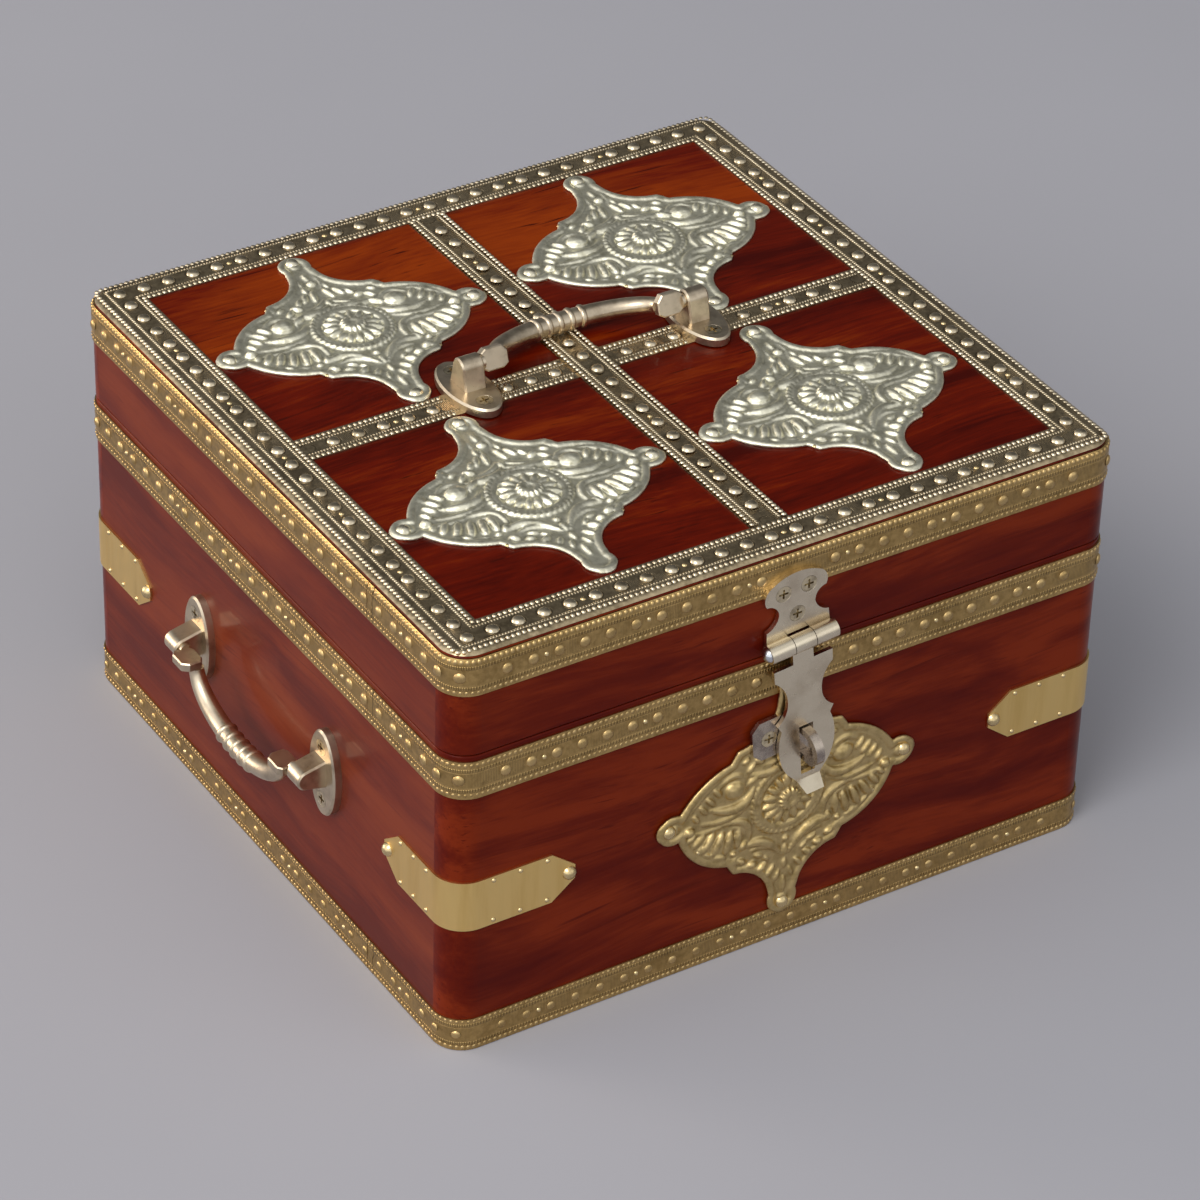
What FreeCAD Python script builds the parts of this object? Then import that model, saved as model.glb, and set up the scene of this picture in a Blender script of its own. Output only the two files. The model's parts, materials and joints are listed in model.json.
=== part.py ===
import FreeCAD, Part
import math
import os

# A damchiya chest: a stained wooden box with a hinged lid, dressed in embossed brass strips,
# repousse ornaments, cast bail handles, corner straps and a hasp with its staple.
# Millimetres. +Z up, the hasp faces -Y, the origin is under the middle of the box.

Vec = FreeCAD.Vector

# Box and lid
chest_width = 305.0
chest_depth = 300.0
seam_height = 142.0
seam_gap = 0.3
lid_height = 46.1
corner_radius = 12.5
lid_round_over = 5.0
edge_ease = 0.8
board_thickness = 13.0
bottom_thickness = 8.0
panel_thickness = 11.0

# Embossed strips
strip_width = 17.2
strip_thickness = 0.6
frame_reach_x = 20.7
frame_reach_y = 19.4
fold_gap = 0.9
rim_band_drop = 2.3
long_cross_width = 17.6
long_cross_shift = -1.0
wide_cross_width = 15.6
wide_cross_shift = 1.0
base_band_height = 15.4
base_band_lift = 0.3
band_joint_gap = 0.4
band_joint_from_front = 63.0
joggle_run = 2.0
lay_gap = 0.05

# Corner straps
strap_height = 23.0
strap_middle = 71.0
strap_thickness = 0.8
strap_long_leg = 44.5
strap_short_leg = 39.0
strap_point = 10.5
strap_tip_half = 3.2
strap_nail_back = 2.6

# Repousse ornaments
ornament_margin = 0.7
ornament_lobe_radius = 5.6
ornament_thickness = 0.9
ornament_shift_x = 3.8
ornament_shift_y = 3.7
ornament_drift_x = -1.0
ornament_drift_y = 0.7
ornament_ring_radius = 14.2
ornament_ring_wire = 1.2
ornament_dome_radius = 10.5
ornament_dome_height = 3.0
front_ornament_clearance = 2.8
front_ornament_foot = 18.2
front_ornament_sag = 2.5
ornament_turns = {"front_left": -1.2, "front_right": -0.2, "rear_left": -2.5, "rear_right": -0.9}
bulge_shares = ((0.772, 0.308), (0.496, 0.447))
cusp_share = (0.440, 0.540)
neck_shares = ((0.216, 0.642), (0.104, 0.845))
lobe_join_angle = 45.0
neck_join_angle = 30.0
ornament_pin_shares = ((0.455, 0.495), (0.745, 0.275))

# Fasteners
screw_head_radius = 3.5
screw_head_depth = 2.2
screw_shank_radius = 1.6
screw_length = 12.0
screw_recess_width = 0.9
screw_recess_length = 4.2
screw_recess_depth = 0.9
nail_head_radius = 3.1
nail_head_height = 2.3
nail_shank_radius = 0.7
nail_length = 9.0
pin_head_radius = 1.05
pin_head_height = 0.7
pin_shank_radius = 0.45
pin_length = 6.0
fastener_clearance = 0.1
band_pin_pitch = 45.0
strap_pin_shares = (0.0, 0.4, 0.8)
strap_pin_margin = 2.0

# Bail handles
top_handle_spacing = 107.4
side_handle_spacing = 104.6
plate_length = 40.5
plate_width = 20.2
plate_thickness = 3.8
plate_edge = 0.8
plate_screw_spacing = 25.2
lug_width = 14.4
lug_length = 9.8
lug_face = 5.8
lug_shift = 1.5
lug_edge = 0.7
nose_radius = 4.4
pivot_height = 11.9
paddle_gap = 0.6
paddle_length = 12.0
paddle_rise = 9.6
top_paddle_lift = 0.2
side_paddle_lift = 2.2
paddle_back = 1.5
paddle_thickness = 4.0
paddle_edge = 0.5
paddle_shares = ((0.0, -0.30), (0.0, 0.34), (0.18, 0.5), (0.80, 0.5), (1.0, 0.2), (1.0, -0.34), (0.80, -0.5), (0.2, -0.5))
stub_radius = 3.0
stub_depth = 6.5
running_clearance = 0.08
bail_reach = 20.3
bail_end_reach = 2.2
rod_end_share = 0.80
rod_end_radius = 3.0
rod_radius = 4.2
rod_sections = 13
ring_count = 5
ring_pitch = 5.5
ring_wire = 1.5
ring_radius = 3.4
top_handle_across = -1.15
top_handle_back = 4.8
top_bail_droop = 19.0
side_handle_height = 78.0
side_handle_back = -3.5

# Hasp and staple, measured from the pin of the hasp
hasp_lean = -5.5
hasp_across = 0.2
hasp_axis_rise = 5.1
hasp_plate = 2.0
hasp_knuckle_radius = 4.0
hasp_width = 30.6
centre_knuckle_width = 9.4
hasp_knuckle_gap = 0.3
hasp_pin_radius = 1.9
hasp_pin_head_radius = 3.1
hasp_pin_head_height = 2.2
leaf_height = 32.0
leaf_shares = (((0.48, 0), (0.467, 0.266)), ((0.467, 0.266), (0.343, 0.331), (0.271, 0.469)),
               ((0.271, 0.469), (0.314, 0.581), (0.444, 0.644)), ((0.444, 0.644), (0.464, 0.775), (0.356, 0.906)))
leaf_screw_shares = ((-0.19, 0.75), (0.19, 0.75), (0.0, 0.385))
hasp_strap_length = 71.0
hasp_strap_thickness = 1.8
hasp_strap_shares = (((0.441, 0.130), (0.438, 0.206)), ((0.438, 0.206), (0.281, 0.303), (0.261, 0.394)),
                     ((0.261, 0.394), (0.314, 0.465), (0.425, 0.513)), ((0.425, 0.513), (0.369, 0.558)),
                     ((0.369, 0.558), (0.425, 0.711), (0.314, 0.873)), ((0.314, 0.873), (0.176, 0.945)))
lip_reach = 5.0
lip_end_share = 0.75
slot_top = 40.8
slot_length = 23.7
slot_width = 6.4
staple_length = 36.0
staple_height = 18.3
staple_thickness = 1.8
staple_clip = 3.6
staple_drop = 42.0
staple_shift = -5.4
staple_tongue_width = 9.0
staple_screw_shares = (-0.292, 0.378)
loop_shift = -0.5
loop_drop = 49.5
loop_height = 16.0
loop_reach = 13.0
loop_bar = 3.2
loop_width = 3.8
loop_seat = 0.7

# Butt hinges behind the lid
hinge_inset = 62.5
hinge_length = 50.0
hinge_leaf_height = 24.0
hinge_plate = 2.0
hinge_knuckle_radius = 3.4
hinge_knuckle_count = 5
hinge_knuckle_gap = 0.3
hinge_pin_radius = 1.6
hinge_pin_head = 2.4
hinge_pin_cap = 1.2
hinge_screw_count = 3
hinge_screw_margin = 8.0
hinge_screw_share = 0.58

overrun = 1.0

# Places worked out from the sizes above
half_width = chest_width / 2
half_depth = chest_depth / 2
lid_bottom = seam_height + seam_gap
lid_top = lid_bottom + lid_height
panel_bottom = lid_top - panel_thickness
fold_height = lid_top - lid_round_over * (1 - math.sin(math.radians(45)))
frame_inner_x = half_width - frame_reach_x
frame_inner_y = half_depth - frame_reach_y
ornament_across = frame_inner_x / 2 + ornament_shift_x
ornament_along = frame_inner_y / 2 + ornament_shift_y
ornament_field = min(frame_inner_x - ornament_across, frame_inner_y - ornament_along)
ornament_reach = ornament_field - ornament_lobe_radius - ornament_margin
rim_band_top = seam_height - rim_band_drop
lid_band_bottom = lid_top - lid_round_over - (strip_width - lid_round_over * math.radians(45))
strip_face = half_depth + strip_thickness
hinge_spacing = chest_width - 2 * hinge_inset
hinge_axis_y = strip_face + hinge_knuckle_radius + lay_gap
hinge_axis_z = seam_height + seam_gap / 2
hasp_axis_y = -(strip_face + lay_gap + hasp_knuckle_radius)
hasp_axis_z = lid_bottom + hasp_axis_rise
staple_bottom = hasp_axis_z - loop_drop - loop_height / 2 - loop_seat
front_ornament_height = (staple_bottom - front_ornament_clearance - ornament_ring_radius - ornament_ring_wire
                         + front_ornament_sag)
front_ornament_fall = front_ornament_height - front_ornament_foot


def box(x0, y0, z0, x1, y1, z1):
    return Part.makeBox(x1 - x0, y1 - y0, z1 - z0, Vec(x0, y0, z0))


def prism(points, direction):
    wire = Part.makePolygon(list(points) + [points[0]])
    return Part.Face(wire).extrude(direction)


def placed(shape, origin, across, along, out):
    """Carries a shape from its own x, y, z to three directions of the chest."""
    matrix = FreeCAD.Matrix(across.x, along.x, out.x, origin.x,
                            across.y, along.y, out.y, origin.y,
                            across.z, along.z, out.z, origin.z,
                            0, 0, 0, 1)
    moved = shape.copy()
    moved.Placement = FreeCAD.Placement(matrix).multiply(moved.Placement)
    return moved


def mirrored(shape, in_x, in_y):
    if in_x:
        shape = shape.mirror(Vec(0, 0, 0), Vec(1, 0, 0))
    if in_y:
        shape = shape.mirror(Vec(0, 0, 0), Vec(0, 1, 0))
    return shape


def rounded_prism(grow, low, high):
    """The box's outline with its round corners, grown by a skin's thickness."""
    x = half_width + grow
    y = half_depth + grow
    r = corner_radius + grow
    k = r * (1 - math.sin(math.radians(45)))
    corners = ((1, 1), (-1, 1), (-1, -1), (1, -1))
    edges = []
    last = None
    for sx, sy in corners:
        side = Vec(sx * x, sy * (y - r), low)
        end = Vec(sx * (x - r), sy * y, low)
        middle = Vec(sx * (x - k), sy * (y - k), low)
        first, second = (side, end) if sx * sy > 0 else (end, side)
        if last is not None:
            edges.append(Part.LineSegment(last, first).toShape())
        else:
            opening = first
        edges.append(Part.Arc(first, middle, second).toShape())
        last = second
    edges.append(Part.LineSegment(last, opening).toShape())
    return Part.Face(Part.Wire(edges)).extrude(Vec(0, 0, high - low))


def rim_edges(shape, height):
    """Edges of a shape that lie flat at one height."""
    found = []
    for edge in shape.Edges:
        bounds = edge.BoundBox
        if abs(bounds.ZMin - height) < lay_gap and abs(bounds.ZMax - height) < lay_gap:
            found.append(edge)
    return found


def body_block():
    block = rounded_prism(0, 0, seam_height)
    return block.makeFillet(edge_ease, rim_edges(block, seam_height))


def lid_block(grow):
    block = rounded_prism(grow, lid_bottom, lid_top + grow)
    block = block.makeFillet(lid_round_over + grow, rim_edges(block, lid_top + grow))
    if grow:
        return block
    return block.makeFillet(edge_ease, rim_edges(block, lid_bottom))


# Fasteners are modelled about their own +Z, which points out of the wood.

def screw_solid():
    head = Part.makeCone(screw_shank_radius, screw_head_radius, screw_head_depth, Vec(0, 0, -screw_head_depth))
    shank_low = -screw_length
    shank = Part.makeCylinder(screw_shank_radius, screw_length - screw_head_depth, Vec(0, 0, shank_low))
    solid = head.fuse(shank).removeSplitter()
    long, wide = screw_recess_length / 2, screw_recess_width / 2
    for a, b in ((long, wide), (wide, long)):
        solid = solid.cut(box(-a, -b, -screw_recess_depth, a, b, overrun))
    return solid


def screw_drill():
    grow = fastener_clearance
    head = Part.makeCone(screw_shank_radius + grow, screw_head_radius + grow,
                         screw_head_depth, Vec(0, 0, -screw_head_depth))
    mouth = Part.makeCylinder(screw_head_radius + grow, overrun)
    shank = Part.makeCylinder(screw_shank_radius + grow, screw_length + grow, Vec(0, 0, -screw_length - grow))
    return head.fuse(mouth).fuse(shank)


def dome(radius, height):
    """A round head: the cap of a sphere, flat underneath."""
    ball = (radius * radius + height * height) / (2 * height)
    sphere = Part.makeSphere(ball, Vec(0, 0, height - ball))
    keep = Part.makeCylinder(ball + overrun, height + overrun)
    return sphere.common(keep)


def nail_solid(head_radius, head_height, shank_radius, length):
    shank = Part.makeCylinder(shank_radius, length, Vec(0, 0, -length))
    return dome(head_radius, head_height).fuse(shank).removeSplitter()


def nail_drill(shank_radius, length):
    grow = fastener_clearance
    return Part.makeCylinder(shank_radius + grow, length + grow + overrun, Vec(0, 0, -length - grow))


fastener_makers = {
    "screw": (screw_solid, screw_drill),
    "nail": (lambda: nail_solid(nail_head_radius, nail_head_height, nail_shank_radius, nail_length),
             lambda: nail_drill(nail_shank_radius, nail_length)),
    "pin": (lambda: nail_solid(pin_head_radius, pin_head_height, pin_shank_radius, pin_length),
            lambda: nail_drill(pin_shank_radius, pin_length)),
}


def set_on(shape, place, out):
    moved = shape.copy()
    moved.Placement = FreeCAD.Placement(place, FreeCAD.Rotation(Vec(0, 0, 1), out))
    return moved


def fasteners(kind, places):
    """Solids and matching drills for fasteners at (place, outward direction)."""
    make_solid, make_drill = fastener_makers[kind]
    solid, drill = make_solid(), make_drill()
    return [set_on(solid, p, o) for p, o in places], [set_on(drill, p, o) for p, o in places]


def drilled(shape, drills):
    """Cuts only the drills that reach the shape."""
    bounds = shape.BoundBox
    near = [d for d in drills if bounds.intersect(d.BoundBox)]
    return shape.cut(near) if near else shape


# Wooden box and lid

def body_boards():
    block = body_block()
    x, y = half_width - board_thickness, half_depth - board_thickness
    w, d = half_width + overrun, half_depth + overrun
    top = seam_height + overrun
    return {
        "front_board": block.common(box(-w, -d, 0, w, -y, top)),
        "rear_board": block.common(box(-w, y, 0, w, d, top)),
        "left_board": block.common(box(-w, -y, 0, -x, y, top)),
        "right_board": block.common(box(x, -y, 0, w, y, top)),
        "bottom_board": box(-x, -y, 0, x, y, bottom_thickness),
    }


def lid_boards():
    block = lid_block(0)
    x, y = half_width - board_thickness, half_depth - board_thickness
    w, d = half_width + overrun, half_depth + overrun
    low = lid_bottom - overrun
    return {
        "lid_front_rail": block.common(box(-w, -d, low, w, -y, panel_bottom)),
        "lid_rear_rail": block.common(box(-w, y, low, w, d, panel_bottom)),
        "lid_left_rail": block.common(box(-w, -y, low, -x, y, panel_bottom)),
        "lid_right_rail": block.common(box(x, -y, low, w, y, panel_bottom)),
        "lid_top_panel": block.common(box(-w, -d, panel_bottom, w, d, lid_top + overrun)),
    }


# Embossed strips

def joint_cut(low, high):
    """The narrow open joint of a band, on the left side near the front."""
    y = -half_depth + band_joint_from_front
    x = -half_width - strip_thickness - overrun
    return box(x, y, low - overrun, x + overrun + board_thickness, y + band_joint_gap, high + overrun)


def body_band(low, high):
    ring = rounded_prism(strip_thickness, low, high).cut(rounded_prism(0, low - overrun, high + overrun))
    return ring.cut(joint_cut(low, high))


def lid_skin():
    return lid_block(strip_thickness).cut(lid_block(0))


def lid_side_band(skin):
    w, d = half_width + overrun, half_depth + overrun
    high = fold_height - fold_gap / 2
    band = skin.common(box(-w, -d, lid_band_bottom, w, d, high))
    return band.cut(joint_cut(lid_band_bottom, high))


def frame_strips(skin):
    """Four strips on top of the lid, mitred where they meet."""
    top = lid_top + strip_thickness
    low = fold_height + fold_gap / 2
    x, y = frame_inner_x, frame_inner_y
    w, d = half_width + overrun, half_depth + overrun
    ring = skin.common(box(-w, -d, low, w, d, top))
    ring = ring.cut(box(-x, -y, low - overrun, x, y, top + overrun))
    rise = Vec(0, 0, top - low + 2 * overrun)
    base = low - overrun
    wedges = {
        "lid_frame_strip_front": ((-x, -y), (-w, -d), (w, -d), (x, -y)),
        "lid_frame_strip_rear": ((-x, y), (-w, d), (w, d), (x, y)),
        "lid_frame_strip_left": ((-x, -y), (-w, -d), (-w, d), (-x, y)),
        "lid_frame_strip_right": ((x, -y), (w, -d), (w, d), (x, y)),
    }
    return {name: ring.common(prism([Vec(a, b, base) for a, b in outline], rise))
            for name, outline in wedges.items()}


def cross_strips():
    """One strip lies flat from side to side; the other steps over it from front to rear."""
    t = strip_thickness
    low, high = wide_cross_shift - wide_cross_width / 2, wide_cross_shift + wide_cross_width / 2
    under = box(-frame_inner_x, low, lid_top, frame_inner_x, high, lid_top + t)
    low, high = low - lay_gap, high + lay_gap
    lift = t + lay_gap
    lower = [(-frame_inner_y, 0), (low - joggle_run, 0), (low, lift),
             (high, lift), (high + joggle_run, 0), (frame_inner_y, 0)]
    upper = [(a, b + t) for a, b in reversed(lower)]
    side = long_cross_shift - long_cross_width / 2
    outline = [Vec(side, a, lid_top + b) for a, b in lower + upper]
    over = prism(outline, Vec(long_cross_width, 0, 0))
    return {"lid_cross_strip_under": under, "lid_cross_strip_over": over}


def along_face(length, pitch):
    """Even places along a straight run, centred on it."""
    count = max(int(length / pitch), 1)
    return [(i - (count - 1) / 2) * pitch for i in range(count)]


def band_pin_places(height):
    places = []
    x, y = half_width + strip_thickness, half_depth + strip_thickness
    for a in along_face(chest_width - 2 * corner_radius, band_pin_pitch):
        places.append((Vec(a, -y, height), Vec(0, -1, 0)))
        places.append((Vec(a, y, height), Vec(0, 1, 0)))
    for a in along_face(chest_depth - 2 * corner_radius, band_pin_pitch):
        places.append((Vec(-x, a, height), Vec(-1, 0, 0)))
        places.append((Vec(x, a, height), Vec(1, 0, 0)))
    return places


def top_pin_places():
    """Pins down the middle of the frame strips and of the cross strips."""
    height = lid_top + strip_thickness
    up = Vec(0, 0, 1)
    places = []
    x = frame_inner_x + strip_width / 2
    y = frame_inner_y + strip_width / 2
    for a in along_face(2 * frame_inner_x, band_pin_pitch):
        places += [(Vec(a, s * y, height), up) for s in (-1, 1)]
    for a in along_face(2 * frame_inner_y, band_pin_pitch):
        places += [(Vec(s * x, a, height), up) for s in (-1, 1)]
    for s in (-1, 1):
        places.append((Vec(s * 2 * band_pin_pitch, wide_cross_shift, height), up))
        places += [(Vec(long_cross_shift, s * a * band_pin_pitch, height), up) for a in (1, 2)]
    return places


# Corner straps

def strap_leg(leg, reach, out_x):
    """Outline prism of one pointed leg; it covers the strap's bend as well."""
    low, high = strap_middle - strap_height / 2, strap_middle + strap_height / 2
    start = -overrun - strap_thickness
    outline = [(start, low), (leg, low), (leg + strap_point, strap_middle - strap_tip_half),
               (leg + strap_point, strap_middle + strap_tip_half), (leg, high), (start, high)]
    depth = corner_radius + strap_thickness + overrun
    if out_x:
        points = [Vec(-half_width + a, -half_depth - strap_thickness - overrun, b) for a, b in outline]
        return prism(points, Vec(0, depth, 0))
    points = [Vec(-half_width - strap_thickness - overrun, -half_depth + a, b) for a, b in outline]
    return prism(points, Vec(depth, 0, 0))


def corner_strap(leg_x, leg_y, at_right, at_rear):
    low, high = strap_middle - strap_height / 2, strap_middle + strap_height / 2
    ring = rounded_prism(strap_thickness, low, high).cut(rounded_prism(0, low - overrun, high + overrun))
    legs = strap_leg(leg_x, strap_point, True).fuse(strap_leg(leg_y, strap_point, False))
    return mirrored(ring.common(legs), at_right, at_rear)


def strap_fastener_places(leg_x, leg_y, at_right, at_rear):
    """Nail and pin places on one strap: a nail in each point, pins along both edges."""
    sx, sy = (1 if at_right else -1), (1 if at_rear else -1)
    x, y = half_width + strap_thickness, half_depth + strap_thickness
    nails, pins = [], []
    rise = strap_height / 2 - strap_pin_margin
    for leg, face in ((leg_x, "x"), (leg_y, "y")):
        tip = leg + strap_point - strap_nail_back
        run = leg - corner_radius - strap_pin_margin
        steps = [leg - strap_pin_margin - share * run for share in strap_pin_shares]
        for a, heights, bucket in [(tip, (0,), nails)] + [(s, (-rise, rise), pins) for s in steps]:
            for h in heights:
                if face == "x":
                    bucket.append((Vec(sx * (half_width - a), sy * y, strap_middle + h), Vec(0, sy, 0)))
                else:
                    bucket.append((Vec(sx * x, sy * (half_depth - a), strap_middle + h), Vec(sx, 0, 0)))
    return nails, pins


straps = {
    "front_left_corner_strap": (strap_long_leg, strap_short_leg, False, False),
    "front_right_corner_strap": (strap_long_leg, strap_short_leg, True, False),
    "rear_left_corner_strap": (strap_short_leg, strap_long_leg, False, True),
    "rear_right_corner_strap": (strap_short_leg, strap_long_leg, True, True),
}


# Repousse ornaments, modelled flat about their own centre

def ornament_outline(sag, fall):
    """Four lobes on arcs; the body may lie lower than the lobes and the foot has a length of its own."""
    reach, lobe = ornament_reach, ornament_lobe_radius
    join, turn = math.radians(lobe_join_angle), math.radians(neck_join_angle)
    ear = (reach - lobe * math.cos(join), lobe * math.sin(join))
    inner_shares = bulge_shares + (cusp_share,) + neck_shares
    crown_half, crown_drop = lobe * math.cos(turn), lobe * math.sin(turn)
    edges = []
    for sx, sy, length in ((1, 1, reach), (-1, 1, reach), (-1, -1, fall), (1, -1, fall)):
        tips = [Vec(sx * ear[0], sy * ear[1], 0), Vec(sx * crown_half, sy * (length - crown_drop), 0)]
        low = [Vec(sx * a * reach, sy * b * length - sag, 0) for a, b in inner_shares]
        edges.append(Part.Arc(tips[0], low[0], low[1]).toShape())
        edges.append(Part.LineSegment(low[1], low[2]).toShape())
        edges.append(Part.Arc(low[2], low[3], low[4]).toShape())
        edges.append(Part.LineSegment(low[4], tips[1]).toShape())
    for s in (1, -1):
        edges.append(Part.Arc(Vec(s * ear[0], -ear[1], 0), Vec(s * (reach + lobe), 0, 0),
                              Vec(s * ear[0], ear[1], 0)).toShape())
    for s, length in ((1, reach), (-1, fall)):
        edges.append(Part.Arc(Vec(-crown_half, s * (length - crown_drop), 0), Vec(0, s * (length + lobe), 0),
                              Vec(crown_half, s * (length - crown_drop), 0)).toShape())
    return Part.Face(Part.Wire(Part.__sortEdges__(edges)))


def ornament(sag, fall):
    plate = ornament_outline(sag, fall).extrude(Vec(0, 0, ornament_thickness))
    ring = Part.makeTorus(ornament_ring_radius, ornament_ring_wire, Vec(0, -sag, ornament_thickness))
    ring = ring.common(Part.makeCylinder(ornament_reach, ornament_thickness + ornament_ring_wire + overrun))
    boss = dome(ornament_dome_radius, ornament_dome_height)
    boss.translate(Vec(0, -sag, ornament_thickness / 2))
    return plate.fuse([ring, boss]).removeSplitter()


def ornament_frames():
    """Where each ornament lies: origin and three directions."""
    frames = {}
    for name, turn in ornament_turns.items():
        sx = -1 if name.endswith("left") else 1
        sy = -1 if name.startswith("front") else 1
        c, s = math.cos(math.radians(turn)), math.sin(math.radians(turn))
        centre = Vec(sx * ornament_across + ornament_drift_x, sy * ornament_along + ornament_drift_y, lid_top)
        frames["lid_ornament_" + name] = (centre,
                                          Vec(c, s, 0), Vec(-s, c, 0), Vec(0, 0, 1))
    frames["front_ornament"] = (Vec(0, -strip_face - lay_gap, front_ornament_height),
                                Vec(1, 0, 0), Vec(0, 0, 1), Vec(0, -1, 0))
    return frames


def ornament_fastener_places(frame, fall, skip_low):
    """Nails in the lobes, the low one left out where it is lost, and pins round the body."""
    origin, across, along, out = frame
    face = origin + out * ornament_thickness

    def place(a, b):
        length = ornament_reach if b > 0 else fall
        return (face + across * (a * ornament_reach) + along * (b * length), out)

    nails = [place(a, b) for a, b in ((-1, 0), (1, 0), (0, 1), (0, -1)) if not (skip_low and b < 0)]
    pins = [place(sx * a, sy * b) for a, b in ornament_pin_shares for sx in (-1, 1) for sy in (-1, 1)]
    return nails, pins


# Bail handles, modelled about the middle of the base: x along the pivot, z out

def handle_post(shift):
    base = Part.Ellipse(Vec(0, plate_length / 2, 0), Vec(plate_width / 2, 0, 0), Vec(0, 0, 0))
    plate = Part.Face(Part.Wire(base.toShape())).extrude(Vec(0, 0, plate_thickness))
    plate = plate.makeChamfer(plate_edge, rim_edges(plate, plate_thickness))
    block = lug()
    block.translate(Vec(0, shift, 0))
    return plate.fuse(block).removeSplitter()


def lug():
    """A block that tapers to a round nose; its inner face looks toward +x."""
    half = lug_width / 2
    outer = lug_face - lug_length
    lean = math.atan2(half - nose_radius, pivot_height)
    side, rise = nose_radius * math.cos(lean), pivot_height + nose_radius * math.sin(lean)
    points = [Vec(outer, -half, 0), Vec(outer, -side, rise),
              Vec(outer, 0, pivot_height + nose_radius), Vec(outer, side, rise), Vec(outer, half, 0)]
    wire = Part.Wire([Part.LineSegment(points[0], points[1]).toShape(),
                      Part.Arc(points[1], points[2], points[3]).toShape(),
                      Part.LineSegment(points[3], points[4]).toShape(),
                      Part.LineSegment(points[4], points[0]).toShape()])
    block = Part.Face(wire).extrude(Vec(lug_length, 0, 0))
    arched = [e for e in block.Edges if e.BoundBox.ZMin > plate_thickness and e.BoundBox.XLength < lay_gap]
    block = block.makeChamfer(lug_edge, arched)
    bore = Part.makeCylinder(stub_radius + running_clearance, stub_depth + running_clearance + overrun,
                             Vec(lug_face + overrun, 0, pivot_height), Vec(-1, 0, 0))
    return block.cut(bore)


def rod_end(spacing):
    """How far from the middle the rod meets its paddle."""
    return spacing / 2 - lug_face - paddle_gap - rod_end_share * paddle_length


def rod_place(spacing, x):
    """Centre and direction of the rod at a place along the handle; it bends as half an ellipse."""
    end, sag = rod_end(spacing), bail_reach - bail_end_reach
    turn = math.asin(max(-1.0, min(1.0, x / end)))
    tangent = Vec(end * math.cos(turn), -sag * math.sin(turn), 0)
    return Vec(x, bail_end_reach + sag * math.cos(turn), 0), tangent.normalize()


def bail_rod(spacing):
    """A rod that swells to its middle, with grip rings round it."""
    wires = []
    for i in range(rod_sections):
        turn = math.radians(180) * (i / (rod_sections - 1) - 1 / 2)
        place, tangent = rod_place(spacing, rod_end(spacing) * math.sin(turn))
        radius = rod_end_radius + (rod_radius - rod_end_radius) * math.cos(turn)
        wires.append(Part.Wire(Part.Circle(place, tangent, radius).toShape()))
    rod = Part.makeLoft(wires, True, False)
    rings = []
    for i in range(ring_count):
        place, tangent = rod_place(spacing, (i - (ring_count - 1) / 2) * ring_pitch)
        rings.append(Part.makeTorus(ring_radius, ring_wire, place, tangent))
    return rod, rings


def bail(spacing, lift):
    """Rod, rings, paddles and stubs, about the pivot line, with the rod toward +y."""
    rod, pieces = bail_rod(spacing)
    outer = spacing / 2 - lug_face - paddle_gap
    for s in (-1, 1):
        outline = [Vec(s * (outer - a * paddle_length), -paddle_back, b * paddle_rise + lift)
                   for a, b in paddle_shares]
        plate = prism(outline, Vec(0, paddle_thickness, 0))
        pieces.append(plate.makeChamfer(paddle_edge, rim_edges_along_y(plate)))
        pieces.append(Part.makeCylinder(stub_radius, paddle_gap + stub_depth + overrun,
                                        Vec(s * (outer - overrun), 0, 0), Vec(s, 0, 0)))
    return rod.fuse(pieces).removeSplitter()


def rim_edges_along_y(shape):
    return [e for e in shape.Edges if e.BoundBox.YLength < lay_gap]


def handle(origin, spacing, lift, across, along, out, rod, face):
    """Two posts, the bail with its rod and its face turned as it rests, and the screw places."""
    posts, screws = [], []
    for s in (-1, 1):
        foot = origin + across * (s * spacing / 2)
        posts.append(placed(handle_post(-s * lug_shift), foot, across * -s, along * -s, out))
        for t in (-1, 1):
            screws.append((foot + along * (t * plate_screw_spacing / 2) + out * plate_thickness, out))
    pivot = origin + out * pivot_height + along * lug_shift
    swung = placed(bail(spacing, lift), pivot, rod.cross(face), rod, face)
    return posts, swung, screws


def handles():
    x, y, z = Vec(1, 0, 0), Vec(0, 1, 0), Vec(0, 0, 1)
    c, k = math.cos(math.radians(top_bail_droop)), math.sin(math.radians(top_bail_droop))
    top = Vec(top_handle_across, top_handle_back, lid_top + strip_thickness)
    left = Vec(-half_width, side_handle_back, side_handle_height)
    right = Vec(half_width, side_handle_back, side_handle_height)
    return {
        "top": handle(top, top_handle_spacing, top_paddle_lift, x, y, z, y * c - z * k, z * c + y * k),
        "left": handle(left, side_handle_spacing, side_paddle_lift, -y, z, -x, -z, -x),
        "right": handle(right, side_handle_spacing, side_paddle_lift, y, z, x, -z, x),
    }


# Hasp, modelled about its pin: x across, z up, and leaned as a whole

def leaned(shape):
    moved = shape.copy()
    turn = FreeCAD.Rotation(Vec(0, 1, 0), hasp_lean)
    moved.Placement = FreeCAD.Placement(Vec(hasp_across, hasp_axis_y, hasp_axis_z), turn).multiply(moved.Placement)
    return moved


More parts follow.
